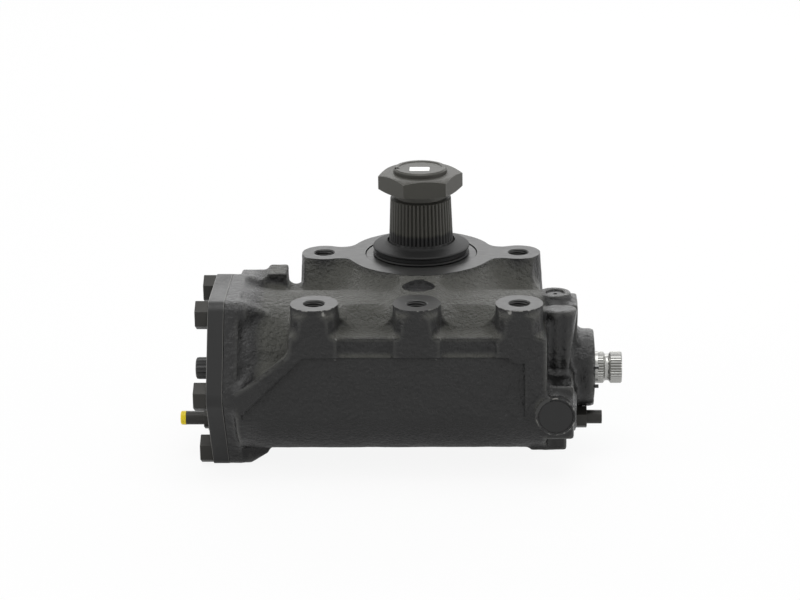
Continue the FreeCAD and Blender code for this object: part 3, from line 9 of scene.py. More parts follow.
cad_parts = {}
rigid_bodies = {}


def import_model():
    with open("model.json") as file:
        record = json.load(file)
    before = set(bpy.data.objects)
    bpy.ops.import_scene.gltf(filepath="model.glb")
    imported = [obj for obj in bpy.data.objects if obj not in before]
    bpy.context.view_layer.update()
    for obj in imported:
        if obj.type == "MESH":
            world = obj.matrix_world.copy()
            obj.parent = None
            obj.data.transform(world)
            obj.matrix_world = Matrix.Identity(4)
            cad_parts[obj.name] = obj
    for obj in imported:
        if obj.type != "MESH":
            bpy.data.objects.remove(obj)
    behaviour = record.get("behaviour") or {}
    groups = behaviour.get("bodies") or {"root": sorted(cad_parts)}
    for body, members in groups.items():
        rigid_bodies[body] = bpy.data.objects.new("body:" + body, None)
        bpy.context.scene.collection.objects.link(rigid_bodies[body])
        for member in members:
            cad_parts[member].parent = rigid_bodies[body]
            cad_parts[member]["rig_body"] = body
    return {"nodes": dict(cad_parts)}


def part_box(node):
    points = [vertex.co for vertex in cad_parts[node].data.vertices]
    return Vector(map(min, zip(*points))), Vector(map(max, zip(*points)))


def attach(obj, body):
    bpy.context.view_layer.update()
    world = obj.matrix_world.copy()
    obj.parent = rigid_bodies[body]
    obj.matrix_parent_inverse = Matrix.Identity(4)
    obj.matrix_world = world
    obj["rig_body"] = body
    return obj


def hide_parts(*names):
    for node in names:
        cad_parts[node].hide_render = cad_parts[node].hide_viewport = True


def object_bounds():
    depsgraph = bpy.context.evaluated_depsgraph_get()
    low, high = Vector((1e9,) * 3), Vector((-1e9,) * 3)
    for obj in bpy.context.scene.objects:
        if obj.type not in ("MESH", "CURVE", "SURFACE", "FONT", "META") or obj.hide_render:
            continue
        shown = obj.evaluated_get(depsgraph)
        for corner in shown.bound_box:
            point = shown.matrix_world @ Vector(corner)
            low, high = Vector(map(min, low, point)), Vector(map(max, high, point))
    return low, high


bl_info = {
    "name": "Steering gear looks",
    "version": (1, 0, 0),
    "blender": (4, 5, 0),
    "location": "View3D > Sidebar > Steering gear",
    "description": "Castings, machined faces, fasteners and finishes of a steering gear",
    "category": "Object",
}

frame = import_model()
CAD_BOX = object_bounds()
NODES = frame["nodes"]

MM = 0.001
# Places that the casting and its machining share, in millimetres
BOSSES = [(-93, -152), (93, -152), (0, -152), (-93, 0), (93, 0)]
FRONT_BOSS_R, SKIRT = 21.75, 20.5
AXIS_Y, AXIS_Z = -84, -87
LIMITER_Y, LIMITER_Z = -101.46, -130.21
FLANGE_X, COVER_X, RING_X = -177, -192, 163
SIDE_SEAT_Z = -150
WALL_Y, LEDGE_Z, PANEL_TOP_Z = -174, -27, -45.5
NECK_R = 69
PLUG_PLACE = (126, 0, -101.5)
PLUG_BOSS_Y, PLUG_BOSS_R = -176, 18.1
PORT = (127, -84)
CYLINDER_R, INPUT_R, SIDE_SEAT_R, CHAMBER_R = 57, 34.4, 81, 60
# Two corners of each box: where large fillets lie, on the deck and beside the flange, and where the
# slope from the neck lies
DECK_BOX = (-112, -146, -60), (112, 22, -1)
HOLLOW_BOX = (-166, -176, -128), (-108, -60, -3)
SLOPE_BOX = (-116, -130, -60), (116, 12, 0)
# How far below the seat the threads begin, and how many rings draw one turn of them
LEAD_IN, RINGS_A_TURN = 1.2, 8
# Where smooth runs of thick paint begin and are full, at the left end and at the right
PAINT_RUNS = (-140, -160), (112, 124)
# How sandy the upright walls are, where the slopes are 1
WALL_SAND = 0.7
# Where the paint round the foot of the output shaft begins and is full, and how ragged its edge is
FOOT_PAINT, RAGGED = (27.5, 24.5), 4
# Where the paint is chipped: the centre of a circle or a spot, its radius and its axis
CHIPPED = [((x, y, 0), FRONT_BOSS_R, "Z") for x, y in BOSSES[:3]]
CHIPPED += [((PLUG_PLACE[0], PLUG_BOSS_Y, PLUG_PLACE[2]), PLUG_BOSS_R, "Y")]
CHIP_SPOTS = (-83, -3.5), (-72, LEDGE_Z), (-73, PANEL_TOP_Z), (20.5, LEDGE_Z), (19, PANEL_TOP_Z), (84, -2)
CHIPPED += [((x, WALL_Y + 2, z), 0, "Z") for x, z in CHIP_SPOTS]
# How far a chip reaches from an edge and from a spot
EDGE_CHIP, SPOT_CHIP = 1.0, 2.6
# The vinyl label on the output shaft: its sides, the radius of its corners and its place
LABEL_SIDES, LABEL_ROUND, LABEL_PLACE = (19.0, 13.5), 1.6, (-0.6, -4.2)


def mm(name, default, description):
    """A length that a user sets in millimetres."""
    return FloatProperty(name=name, default=default, description=description, min=0, precision=2)


def hue(name, default, description):
    """A colour that a user sets as an sRGB hex value."""
    return StringProperty(name=name, default=default, description=description)


def watts(name, default, description):
    """The power of a lamp."""
    return FloatProperty(name=name, default=default, description=description, min=0, unit="POWER")


def share(name, default, description):
    """A part of one."""
    return FloatProperty(
        name=name, default=default, description=description, min=0, max=1, subtype="FACTOR",
    )


class CastingSizes(bpy.types.PropertyGroup):
    """How the sand casting is rounded and how rough it is."""

    inner_round: mm("Inner radius", 4.0, "Radius of the fillets where two walls meet")
    outer_round: mm("Outer radius", 1.5, "Radius of the casting's outer edges")
    grid: mm("Grid", 1.2, "Step of the distance grid that rounds the casting")
    coarse_grid: mm("Coarse grid", 2.4, "Step of that grid while trying things out")
    cove: mm("Cove", 12.0, "Radius of the large fillets round the neck and the bosses")
    hollow: mm("Hollow", 7.0, "Radius of the fillets in the hollow beside the flange")
    cove_grid: mm("Cove grid", 2.4, "Step of the distance grid that makes those fillets")
    allowance: mm("Machining allowance", 4.0, "Metal that is cast on and cut off again")
    band: mm("Band", 3.6, "How far the wall between the front bosses lies back")
    panel: mm("Panel", 2.1, "How far the panel below them lies back")
    dimple: mm("Dimple", 29.0, "Diameter of the shallow dimple behind the middle boss")
    swell: mm("Swell", 0.35, "Height of the slow waves in the sand mould")
    swell_length: mm("Swell length", 26.0, "Length of those waves")
    lumps: mm("Lumps", 0.22, "Height of the smaller lumps in the sand mould")
    lump_length: mm("Lump length", 6.0, "Length of those lumps")


class ThreadSizes(bpy.types.PropertyGroup):
    """The tapped mounting holes."""

    hole: mm("Thread bore", 18.38, "Mean diameter of the tapped holes")
    mouth: mm("Mouth", 20.5, "Diameter of the chamfer at the top")
    depth: mm("Depth", 35.0, "Depth of the tapped holes")
    pitch: mm("Pitch", 2.5, "Distance from one thread to the next")
    height: mm("Thread height", 0.7, "How far the threads stand in and out")


class EdgeSizes(bpy.types.PropertyGroup):
    """Broken edges of the machined and pressed pieces."""

    cover: mm("Cover edge", 1.6, "Edge radius of the end cover")
    head: mm("Bolt edge", 0.7, "Edge radius of the bolt heads")
    nut: mm("Nut edge", 0.6, "Edge radius of the large nut")
    plug: mm("Plug edge", 0.5, "Edge radius of plugs and caps")
    screw: mm("Screw edge", 0.4, "Edge radius of the limiter and adjusting screws and their nuts")
    bearing_cap: mm("Bearing cap edge", 0.6, "Edge radius of the bearing cap")
    carrier: mm("Seal carrier edge", 1.2, "Edge radius of the seal carrier")
    output_shaft: mm("Output shaft edge", 0.25, "Edge radius of the output shaft and its teeth")
    input_shaft: mm("Input shaft edge", 0.3, "Edge radius of the input shaft and its teeth")
    boot: mm("Boot edge", 0.5, "Edge radius of the input shaft's boot")


class Finishes(bpy.types.PropertyGroup):
    """Colours of the finishes, as sRGB hex values."""

    paint: hue("Black paint", "#1A1A1A", "Satin chassis paint on the castings")
    # Ridges: partly thin paint, partly a painted highlight along the edges
    thin_paint_highlight: hue("Thin paint and highlight", "#3C3C3A", "The same paint where it lies thin on a ridge")
    # Slopes that face up: the same paint made lighter as painted top light
    lit_slope_paint: hue("Paint on slopes lit from above", "#4E4E49", "The same paint on sandy slopes that face up")
    # Lighter than the casting's paint: partly thin paint over milled iron, partly a painted sheen
    machined_paint: hue("Paint on machined iron", "#2C2C2B", "Paint over turned and milled faces")
    bare_iron: hue("Bare iron", "#8C8B87", "Grey iron where the paint is chipped")
    bolt: hue("Black bolt", "#2B2A27", "Blackened and oiled bolt steel")
    phosphate: hue("Phosphated steel", "#43423D", "Manganese phosphate on the output shaft")
    # Nut edges: partly rubbed steel, partly a painted highlight along the edges
    rubbed_steel_and_highlight: hue("Worn edge and highlight", "#8F8F8C", "Edges of the nut where the phosphate is rubbed off")
    # Cover edges: partly thin paint, partly a painted highlight along the edges
    edge_paint_and_highlight: hue("Worn paint and highlight", "#5C5B58", "Edges of the covers where the paint is thin")
    bright: hue("Bright steel", "#A2A29F", "Ground and rolled steel of the input shaft")
    rubber: hue("Black rubber", "#151515", "Moulded nitrile rubber")
    plastic: hue("Black plastic", "#1B1B1B", "Moulded nylon plugs")
    yellow: hue("Yellow plastic", "#F0D500", "Soft polyethylene cap")
    label: hue("Label", "#F6F6F4", "Bare white vinyl label")
    iron: hue("Machined iron", "#6E6C69", "Bare machined iron inside")
    race: hue("Bearing steel", "#A9ABAD", "Hardened and ground bearing steel")
    seal: hue("Seal ring", "#4A3A2C", "Filled fluoropolymer seal rings")


class StageSettings(bpy.types.PropertyGroup):
    """Floor, lights and camera."""

    floor: hue("Floor", "#F8F8F8", "Colour of the floor")
    glow: share("Floor glow", 0.9, "Share of plain white that the camera sees")
    mirrored_glow: share("Mirrored glow", 0.35, "The same share in reflections")
    sky: share("Sky", 0.45, "Strength of the even light")
    top_light: watts("Top light", 24, "Power of the light above")
    back_light: watts("Back light", 20, "Power of the light behind")
    side_light: watts("Side light", 8, "Power of the light at the left")
    right_light: watts("Right light", 7, "Power of the light at the right")
    lens: FloatProperty(
        name="Lens", default=119.907, unit="CAMERA", description="Focal length in millimetres",
    )
    camera_shift: FloatProperty(
        name="Camera shift", default=-0.149, description="How far the picture lies beside the lens's axis",
    )
    camera_place: FloatVectorProperty(
        name="Camera place", default=(0.07643, -2.43783, 0.77925), subtype="TRANSLATION", unit="LENGTH",
        description="Where the photograph was taken from",
    )
    camera_turn: FloatVectorProperty(
        name="Camera turn", default=(1.2434, 0.0, -0.0072), subtype="EULER", unit="ROTATION",
        description="Which way the camera looks",
    )


def settings(name):
    """One of the groups above, as the scene holds it."""
    return getattr(bpy.context.scene, name)


# Colours and materials


def linear(hex_value):
    """An sRGB hex value as a linear colour."""
    out = []
    for i in (1, 3, 5):
        c = int(hex_value[i : i + 2], 16) / 255
        out.append(c / 12.92 if c <= 0.04045 else ((c + 0.055) / 1.055) ** 2.4)
    return (*out, 1.0)


def add(tree, kind, inputs=None, **settings_of):
    """Adds a node, sets its properties, and sets or links its inputs.
    A node given as an input stands for its first output."""
    node = tree.nodes.new(kind)
    for name, value in settings_of.items():
        setattr(node, name, value)
    for name, value in (inputs or {}).items():
        if isinstance(value, bpy.types.Node):
            value = value.outputs[0]
        if isinstance(value, bpy.types.NodeSocket):
            tree.links.new(value, node.inputs[name])
        else:
            node.inputs[name].default_value = value
    return node


def finish_of(name, base, roughness, metallic=0.0, relief=None, **more):
    """A material with a principled shader. relief(tree, shader) adds its detail."""
    found = bpy.data.materials.get(name)
    if found:
        return found
    material = bpy.data.materials.new(name)
    material.use_nodes = True
    tree = material.node_tree
    shader = tree.nodes["Principled BSDF"]
    shader.inputs["Base Color"].default_value = linear(base)
    shader.inputs["Roughness"].default_value = roughness
    shader.inputs["Metallic"].default_value = metallic
    for key, value in more.items():
        shader.inputs[key.replace("_", " ")].default_value = value
    if relief:
        relief(tree, shader)
    material.diffuse_color = linear(base)
    return material


def per(length_mm):
    """Noise scale that gives features of this length."""
    return 1 / (length_mm * MM)


def speckle(tree, length_mm, detail=2.0, roughness=0.5, stretch=None):
    """Noise with features of a real length, fixed to the piece."""
    place = add(tree, "ShaderNodeTexCoord").outputs["Object"]
    if stretch:
        place = add(tree, "ShaderNodeMapping", {"Vector": place, "Scale": stretch})
    return add(
        tree, "ShaderNodeTexNoise",
        {"Vector": place, "Scale": per(length_mm), "Detail": detail, "Roughness": roughness},
    )


def coats(tree, shader, base, *layers):
    """Lays colours over a base as (factor, hex value), one over the other."""
    colour = linear(base)
    for factor, over in layers:
        colour = add(
            tree, "ShaderNodeMix", {"Factor": factor, 6: colour, 7: linear(over)}, data_type="RGBA",
        ).outputs[2]
    tree.links.new(colour, shader.inputs["Base Color"])


def bumps(tree, shader, *layers):
    """Bump layers of (height, millimetres), one over the other."""
    normal = None
    for height, depth_mm in layers:
        wanted = {"Height": height, "Distance": depth_mm * MM, "Strength": 1.0}
        if normal:
            wanted["Normal"] = normal
        normal = add(tree, "ShaderNodeBump", wanted)
    tree.links.new(normal.outputs[0], shader.inputs["Normal"])


def chips(tree, mottle):
    """How chipped the paint is: 1 near the edges that get knocked, broken up by mottled noise."""
    place = add(tree, "ShaderNodeTexCoord").outputs["Object"]
    least = 1.0
    for centre, radius, axis in CHIPPED:
        along = Vector(float(axis == k) for k in "XYZ")
        across = Vector((1, 1, 1)) - along
        away = add(tree, "ShaderNodeVectorMath", {0: place, 1: Vector(centre) * MM}, operation="SUBTRACT")
        flat = add(tree, "ShaderNodeVectorMath", {0: away, 1: across}, operation="MULTIPLY")
        wide = add(tree, "ShaderNodeVectorMath", {0: flat}, operation="LENGTH").outputs["Value"]
        up = add(tree, "ShaderNodeVectorMath", {0: away, 1: along}, operation="DOT_PRODUCT").outputs["Value"]
        beside = add(tree, "ShaderNodeMath", {0: wide, 1: radius * MM}, operation="SUBTRACT")
        pair = add(tree, "ShaderNodeCombineXYZ", {0: beside, 1: up})
        near = add(tree, "ShaderNodeVectorMath", {0: pair}, operation="LENGTH").outputs["Value"]
        reach = (EDGE_CHIP if radius else SPOT_CHIP) * MM
        part = add(tree, "ShaderNodeMath", {0: near, 1: 1 / reach}, operation="MULTIPLY")
        least = add(tree, "ShaderNodeMath", {0: part, 1: least}, operation="MINIMUM")
    edge = add(tree, "ShaderNodeMapRange", {"Value": least, "From Min": 1.0, "From Max": 0.55})
    broken = add(tree, "ShaderNodeMapRange", {"Value": mottle, "From Min": 0.5, "From Max": 0.6})
    return add(tree, "ShaderNodeMath", {0: edge, 1: broken}, operation="MULTIPLY")


def paint_relief(tree, shader):
    """Sand grain on the slopes, smooth runs of thick paint at both ends, lighter ridges, chips and lighter
    slopes that face up. The ridges are partly thin paint and partly a painted highlight; the lighter slopes
    are painted top light.
    """
    finishes = settings("gear_finishes")
    # Sand grain of about 1 mm is too fine to show, so it is drawn 3.5 mm coarse
    grain = speckle(tree, 3.5, 4.0, 0.62)
    lump, wave, cloud = (speckle(tree, length) for length in (11.0, 8.0, 38.0))
    mottle = speckle(tree, 4.5, 3.0)
    ridge, sand, run = (
        add(tree, "ShaderNodeAttribute", attribute_name=name).outputs["Fac"]
        for name in ("ridge", "sand", "run")
    )
    # Ridges get lighter paint: partly thin paint, partly a painted highlight along the edges
    thin = add(tree, "ShaderNodeMapRange", {"Value": ridge, "From Min": 0.15, "From Max": 0.8})
    # Slopes that face up get lighter paint: painted top light
    painted_slope_light = add(tree, "ShaderNodeMapRange", {"Value": sand, "From Min": WALL_SAND})
    coats(
        tree, shader, finishes.paint,
        (painted_slope_light, finishes.lit_slope_paint),
        (thin, finishes.thin_paint_highlight),
        (chips(tree, mottle), finishes.bare_iron),
    )
    clouded = add(tree, "ShaderNodeMath", {0: grain, 1: cloud}, operation="MULTIPLY")
    dull = add(
        tree, "ShaderNodeMapRange",
        {"Value": clouded, "From Min": 0.1, "From Max": 0.5, "To Min": 0.34, "To Max": 0.56},
    )
    gloss = add(tree, "ShaderNodeMath", {0: run, 1: -0.24}, operation="MULTIPLY")
    roughness = add(tree, "ShaderNodeMath", {0: dull, 1: gloss}, operation="ADD")
    tree.links.new(roughness.outputs[0], shader.inputs["Roughness"])
    runs = add(tree, "ShaderNodeMath", {0: wave, 1: run}, operation="MULTIPLY")
    lumps = add(tree, "ShaderNodeMath", {0: lump, 1: sand}, operation="MULTIPLY")
    steep = add(tree, "ShaderNodeMath", {0: sand, 1: 1.5}, operation="POWER")
    grains = add(tree, "ShaderNodeMath", {0: grain, 1: steep}, operation="MULTIPLY")
    bumps(tree, shader, (runs, 0.9), (lumps, 2.6), (grains, 5.0))


def machined_relief(tree, shader):
    """Fine cutter marks under the paint."""
    # Marks of about 0.3 mm are too fine to show, so they are drawn 1.6 mm coarse
    marks = speckle(tree, 1.6, stretch=(0.15, 1.0, 1.0))
    dull = add(
        tree, "ShaderNodeMapRange",
        {"Value": marks, "From Min": 0.2, "From Max": 0.8, "To Min": 0.34, "To Max": 0.5},
    )
    tree.links.new(dull.outputs[0], shader.inputs["Roughness"])
    bumps(tree, shader, (marks, 0.03))


def fine_relief(tree, shader):
    """A fine even grain, as on phosphated and moulded pieces."""
    # Grain of under 0.1 mm is too fine to show, so it is drawn 1.1 mm coarse
    bumps(tree, shader, (speckle(tree, 1.1), 0.06))


def shaft_relief(tree, shader):
    """Phosphate above and black paint round the foot of the serration, with a ragged line between."""
    finishes = settings("gear_finishes")
    place = add(tree, "ShaderNodeTexCoord").outputs["Object"]
    height = add(tree, "ShaderNodeSeparateXYZ", {0: place}).outputs["Z"]
    rags = add(tree, "ShaderNodeMath", {0: speckle(tree, 6.0), 1: RAGGED * MM}, operation="MULTIPLY")
    ragged = add(tree, "ShaderNodeMath", {0: height, 1: rags}, operation="ADD")
    begins, full = FOOT_PAINT
    painted = add(
        tree, "ShaderNodeMapRange", {"Value": ragged, "From Min": begins * MM, "From Max": full * MM},
    )
    coats(tree, shader, finishes.phosphate, (painted, finishes.paint))
    fine_relief(tree, shader)


def paint():
    """Satin black chassis paint on a sand casting: the sand shows through, ridges are lighter as thin paint
    and a painted highlight, and slopes that face up are lighter as painted top light.
    """
    colour = settings("gear_finishes").paint
    return finish_of(
        "Satin_paint_on_sand_cast_iron", colour, 0.5, relief=paint_relief, Specular_IOR_Level=0.38,
    )


def machined_paint():
    """The same paint on milled and turned faces: flatter, so lighter seen along the face. Its lighter base
    colour is partly thin paint over the iron and partly that sheen painted in.
    """
    colour = settings("gear_finishes").machined_paint
    return finish_of("Satin_paint_on_milled_iron", colour, 0.36, relief=machined_relief)


def phosphate():
    """Manganese phosphate on forged steel: dark, dull and a little brown."""
    return finish_of("Phosphated_steel", settings("gear_finishes").phosphate, 0.52, 0.35, relief=fine_relief)


def shaft_steel():
    """The same phosphated steel on the output shaft, painted black round its foot."""
    colour = settings("gear_finishes").phosphate
    return finish_of("Phosphated_shaft_steel", colour, 0.5, 0.3, relief=shaft_relief)


def rubbed_steel_and_highlight():
    """Steel edges that spanners have rubbed bare, with a painted highlight: brighter than the phosphate
    beside them.
    """
    colour = settings("gear_finishes").rubbed_steel_and_highlight
    return finish_of("Rubbed_steel_edge_and_highlight", colour, 0.35, 0.6, relief=fine_relief)


def edge_paint_and_highlight():
    """Paint that has run off an edge and lies thin, with a painted highlight: a fine grey line along the
    edge.
    """
    colour = settings("gear_finishes").edge_paint_and_highlight
    return finish_of("Thin_paint_and_highlight_on_an_edge", colour, 0.35, relief=fine_relief)


def vinyl():
    """A bare label of white vinyl: flat, matt and pure white."""
    return finish_of("White_vinyl", settings("gear_finishes").label, 0.5, relief=fine_relief)


def black_bolt():
    """Blackened and oiled bolt steel: dark with a low gloss."""
    return finish_of("Blackened_bolt_steel", settings("gear_finishes").bolt, 0.42, 0.4, relief=fine_relief)


def bright():
    """Rolled and ground shaft steel: bright and a little warm."""
    return finish_of("Bright_rolled_steel", settings("gear_finishes").bright, 0.28, 1.0, relief=fine_relief)


def glossy_rubber():
    """Moulded rubber with black paint run over it: smooth and wet-looking."""
    colour = settings("gear_finishes").rubber
    return finish_of("Painted_moulded_rubber", colour, 0.16, relief=fine_relief)


def rubber():
    """Moulded nitrile rubber: deep black, soft gloss."""
    colour = settings("gear_finishes").rubber
    return finish_of("Moulded_nitrile_rubber", colour, 0.55, relief=fine_relief, Specular_IOR_Level=0.25)


def plastic():
    """Moulded nylon: black with a fine grain."""
    return finish_of("Moulded_black_nylon", settings("gear_finishes").plastic, 0.4, relief=fine_relief)


def yellow():
    """Soft polyethylene: yellow, waxy."""
    return finish_of("Yellow_polyethylene", settings("gear_finishes").yellow, 0.4, relief=fine_relief)


def iron():
    """Bare machined iron inside the gear: grey, oiled."""
    return finish_of("Machined_grey_iron", settings("gear_finishes").iron, 0.35, 1.0, relief=machined_relief)


def race():
    """Hardened and ground bearing steel: clean and bright."""
    return finish_of("Ground_bearing_steel", settings("gear_finishes").race, 0.2, 1.0, relief=fine_relief)


def seal_ring():
    """Filled fluoropolymer: brown and waxy."""
    return finish_of("Filled_fluoropolymer", settings("gear_finishes").seal, 0.45, relief=fine_relief)


# Meshes


# Turns that lay a solid's own Z along an axis of the frame
TURNS = {
    "X": Matrix(((0, 0, 1), (1, 0, 0), (0, 1, 0))).to_4x4(),
    "Y": Matrix(((0, 1, 0), (0, 0, 1), (1, 0, 0))).to_4x4(),
    "Z": Matrix.Identity(4),
}


def new_piece(name, mesh):
    """An object for a mesh, in the scene."""
    piece = bpy.data.objects.new(name, mesh)
    bpy.context.scene.collection.objects.link(piece)
    return piece


def lathe(bm, profile, axis="Z", centre=(0, 0, 0), segments=96, wave=None):
    """Adds a closed solid turned from (radius, along) corners in millimetres.
    wave(angle, along) moves the radius, for threads."""
    turn = Matrix.Translation(Vector(centre) * MM) @ TURNS[axis]
    rings = []
    for radius, along in profile:
        if radius == 0:
            rings.append([bm.verts.new(turn @ Vector((0, 0, along * MM)))])
            continue
        ring = []
        for i in range(segments):
            a = math.tau * i / segments
            r = (radius + (wave(a, along) if wave else 0)) * MM
            ring.append(bm.verts.new(turn @ Vector((r * math.cos(a), r * math.sin(a), along * MM))))
        rings.append(ring)
    closed = profile[0][0] != 0
    pairs = list(zip(rings, rings[1:]))
    if closed:
        pairs.append((rings[-1], rings[0]))
    for low, high in pairs:
        for i in range(segments):
            j = (i + 1) % segments
            corners = [low[i % len(low)], low[j % len(low)], high[j % len(high)], high[i % len(high)]]
            kept = [v for k, v in enumerate(corners) if v not in corners[:k]]
            if len(kept) > 2:
                bm.faces.new(kept)


def block(bm, low, high):
    """Adds a closed box between two corners in millimetres."""
    made = bmesh.ops.create_cube(bm, size=1)["verts"]
    low, high = Vector(low) * MM, Vector(high) * MM
    for v in made:
        v.co = (low + high) / 2 + Vector(a * b for a, b in zip(v.co, high - low))


def prism(bm, corners, low, high, axis="X"):
    """Adds a closed solid with this outline, between two places along an axis, in millimetres."""
    turn = {
        "X": lambda a, b, c: (c, a, b),
        "Y": lambda a, b, c: (a, c, b),
        "Z": lambda a, b, c: (a, b, c),
    }[axis]
    ends = [[bm.verts.new(Vector(turn(a, b, c)) * MM) for a, b in corners] for c in (low, high)]
    bm.faces.new(ends[0])
    bm.faces.new(ends[1][::-1])
    for i in range(len(corners)):
        j = (i + 1) % len(corners)
        bm.faces.new((ends[0][i], ends[0][j], ends[1][j], ends[1][i]))


def solid(name, build, material=None):
    """A mesh object from build(bm), with its faces turned outwards and its finish."""
    bm = bmesh.new()
    build(bm)
    bmesh.ops.recalc_face_normals(bm, faces=bm.faces)
    mesh = bpy.data.meshes.new(name)
    bm.to_mesh(mesh)
    bm.free()
    if material:
        mesh.materials.append(material)
    return new_piece(name, mesh)


def copy_of(node, name):
    """A copy of a CAD node's mesh with its seams joined."""
    bm = bmesh.new()
    bm.from_mesh(NODES[node].data)
    bmesh.ops.remove_doubles(bm, verts=bm.verts, dist=1e-6)
    mesh = bpy.data.meshes.new(name)
    bm.to_mesh(mesh)
    bm.free()
    return new_piece(name, mesh)


def refinish(piece, material):
    """Gives a piece one finish in place of those that it has."""
    piece.data.materials.clear()
    piece.data.materials.append(material)


def joined(piece, other):
    """Adds another piece's mesh to a piece, and removes the other."""
    bm = bmesh.new()
    bm.from_mesh(piece.data)
    bm.from_mesh(other.data)
    bm.to_mesh(piece.data)
    bm.free()
    bpy.data.objects.remove(other)


def apply(piece):
    """Applies all modifiers of a piece."""
    graph = bpy.context.evaluated_depsgraph_get()
    done = piece.evaluated_get(graph)
    mesh = bpy.data.meshes.new_from_object(done, preserve_all_data_layers=True, depsgraph=graph)
    piece.modifiers.clear()
    piece.data = mesh
    return piece


def cut(piece, tool, how="DIFFERENCE"):
    """Cuts a piece with a tool, or joins them, and removes the tool. The cut face takes the tool's finish."""
    modifier = piece.modifiers.new("cut", "BOOLEAN")
    modifier.operation = how
    modifier.solver = "MANIFOLD"
    modifier.object = tool
    modifier.material_mode = "TRANSFER"
    before = len(piece.data.polygons)
    apply(piece)
    if not piece.data.polygons or len(piece.data.polygons) == before:
        raise RuntimeError(f"{tool.name} didn't change {piece.name}")
    bpy.data.objects.remove(tool)


def soften(piece, angle=32):
    """Smooth shading with sharp edges kept and large flat faces left flat."""
    piece.data.shade_smooth()
    piece.data.set_sharp_from_angle(angle=math.radians(angle))
    piece.modifiers.new("flat faces", "WEIGHTED_NORMAL").keep_sharp = True
    apply(piece)


def seat(piece, node, angle=32):
    """Smooths a piece and puts it in its node's place and body."""
    soften(piece, angle)
    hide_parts(node)
    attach(piece, NODES[node]["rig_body"])


def turned_piece(node, profile, material, axis="Z", centre=(0, 0, 0), segments=96, wave=None):
    """A piece turned from (radius, along) corners, in its node's place."""
    piece = solid(node + "_turned", lambda bm: lathe(bm, profile, axis, centre, segments, wave), material)
    seat(piece, node)
    return piece


def dress(node, material, edge=0.0, edge_wear_and_highlight=None, angle=40):
    """A CAD node with broken edges: the same mesh with its flat faces joined and its edges rounded.
    The worn material, worn paint or rubbed steel with a painted highlight, goes on the rounded edges alone."""
    piece = copy_of(node, node + "_dressed")
    refinish(piece, material)
    bm = bmesh.new()
    bm.from_mesh(piece.data)
    bmesh.ops.dissolve_limit(bm, angle_limit=math.radians(0.6), verts=bm.verts, edges=bm.edges)
    bm.to_mesh(piece.data)
    bm.free()
    if edge:
        bevel = piece.modifiers.new("edge", "BEVEL")
        bevel.width = edge * MM
        bevel.segments = 2
        bevel.limit_method = "ANGLE"
        bevel.angle_limit = math.radians(angle)
        if edge_wear_and_highlight:
            piece.data.materials.append(edge_wear_and_highlight)
            bevel.material = 1
    apply(piece)
    seat(piece, node)
    return piece


def repaint(node, material):
    """Gives a CAD node a finish and leaves its shape."""
    target = NODES[node]
    for place in target.material_slots:
        place.material = material
    if not target.material_slots:
        target.data.materials.append(material)


def new_tree(name):
    """A node group for one geometry modifier, and its input."""
    tree = bpy.data.node_groups.new(name, "GeometryNodeTree")
    tree.interface.new_socket("Geometry", in_out="INPUT", socket_type="NodeSocketGeometry")
    tree.interface.new_socket("Geometry", in_out="OUTPUT", socket_type="NodeSocketGeometry")
    return tree, add(tree, "NodeGroupInput").outputs[0]


def offsets(tree, last, grid_mm, *steps):
    """Moves a surface out and in through a distance grid, one step in millimetres after the other."""
    grid = grid_mm * MM
    for step in steps:
        field = add(
            tree, "GeometryNodeMeshToSDFGrid",
            {"Mesh": last, "Voxel Size": grid, "Band Width": int(abs(step) * MM / grid) + 3},
        )
        last = add(tree, "GeometryNodeGridToMesh", {"Grid": field, "Threshold": step * MM})
    return last


def run_tree(piece, tree, last):
    """Runs a node group on a piece and keeps its result."""
    add(tree, "NodeGroupOutput", {0: last})
    piece.modifiers.new("nodes", "NODES").node_group = tree
    apply(piece)


def cove(piece, sizes, radius, low, high):
    """Fills the deep corners of a casting between two corners of a box with a large fillet."""
    fill = new_piece("fill", piece.data.copy())
    tree, last = new_tree("Cove")
    run_tree(fill, tree, offsets(tree, last, sizes.cove_grid, radius, -radius))
    cut(fill, solid("region", lambda bm: block(bm, low, high)), "INTERSECT")
    joined(piece, fill)


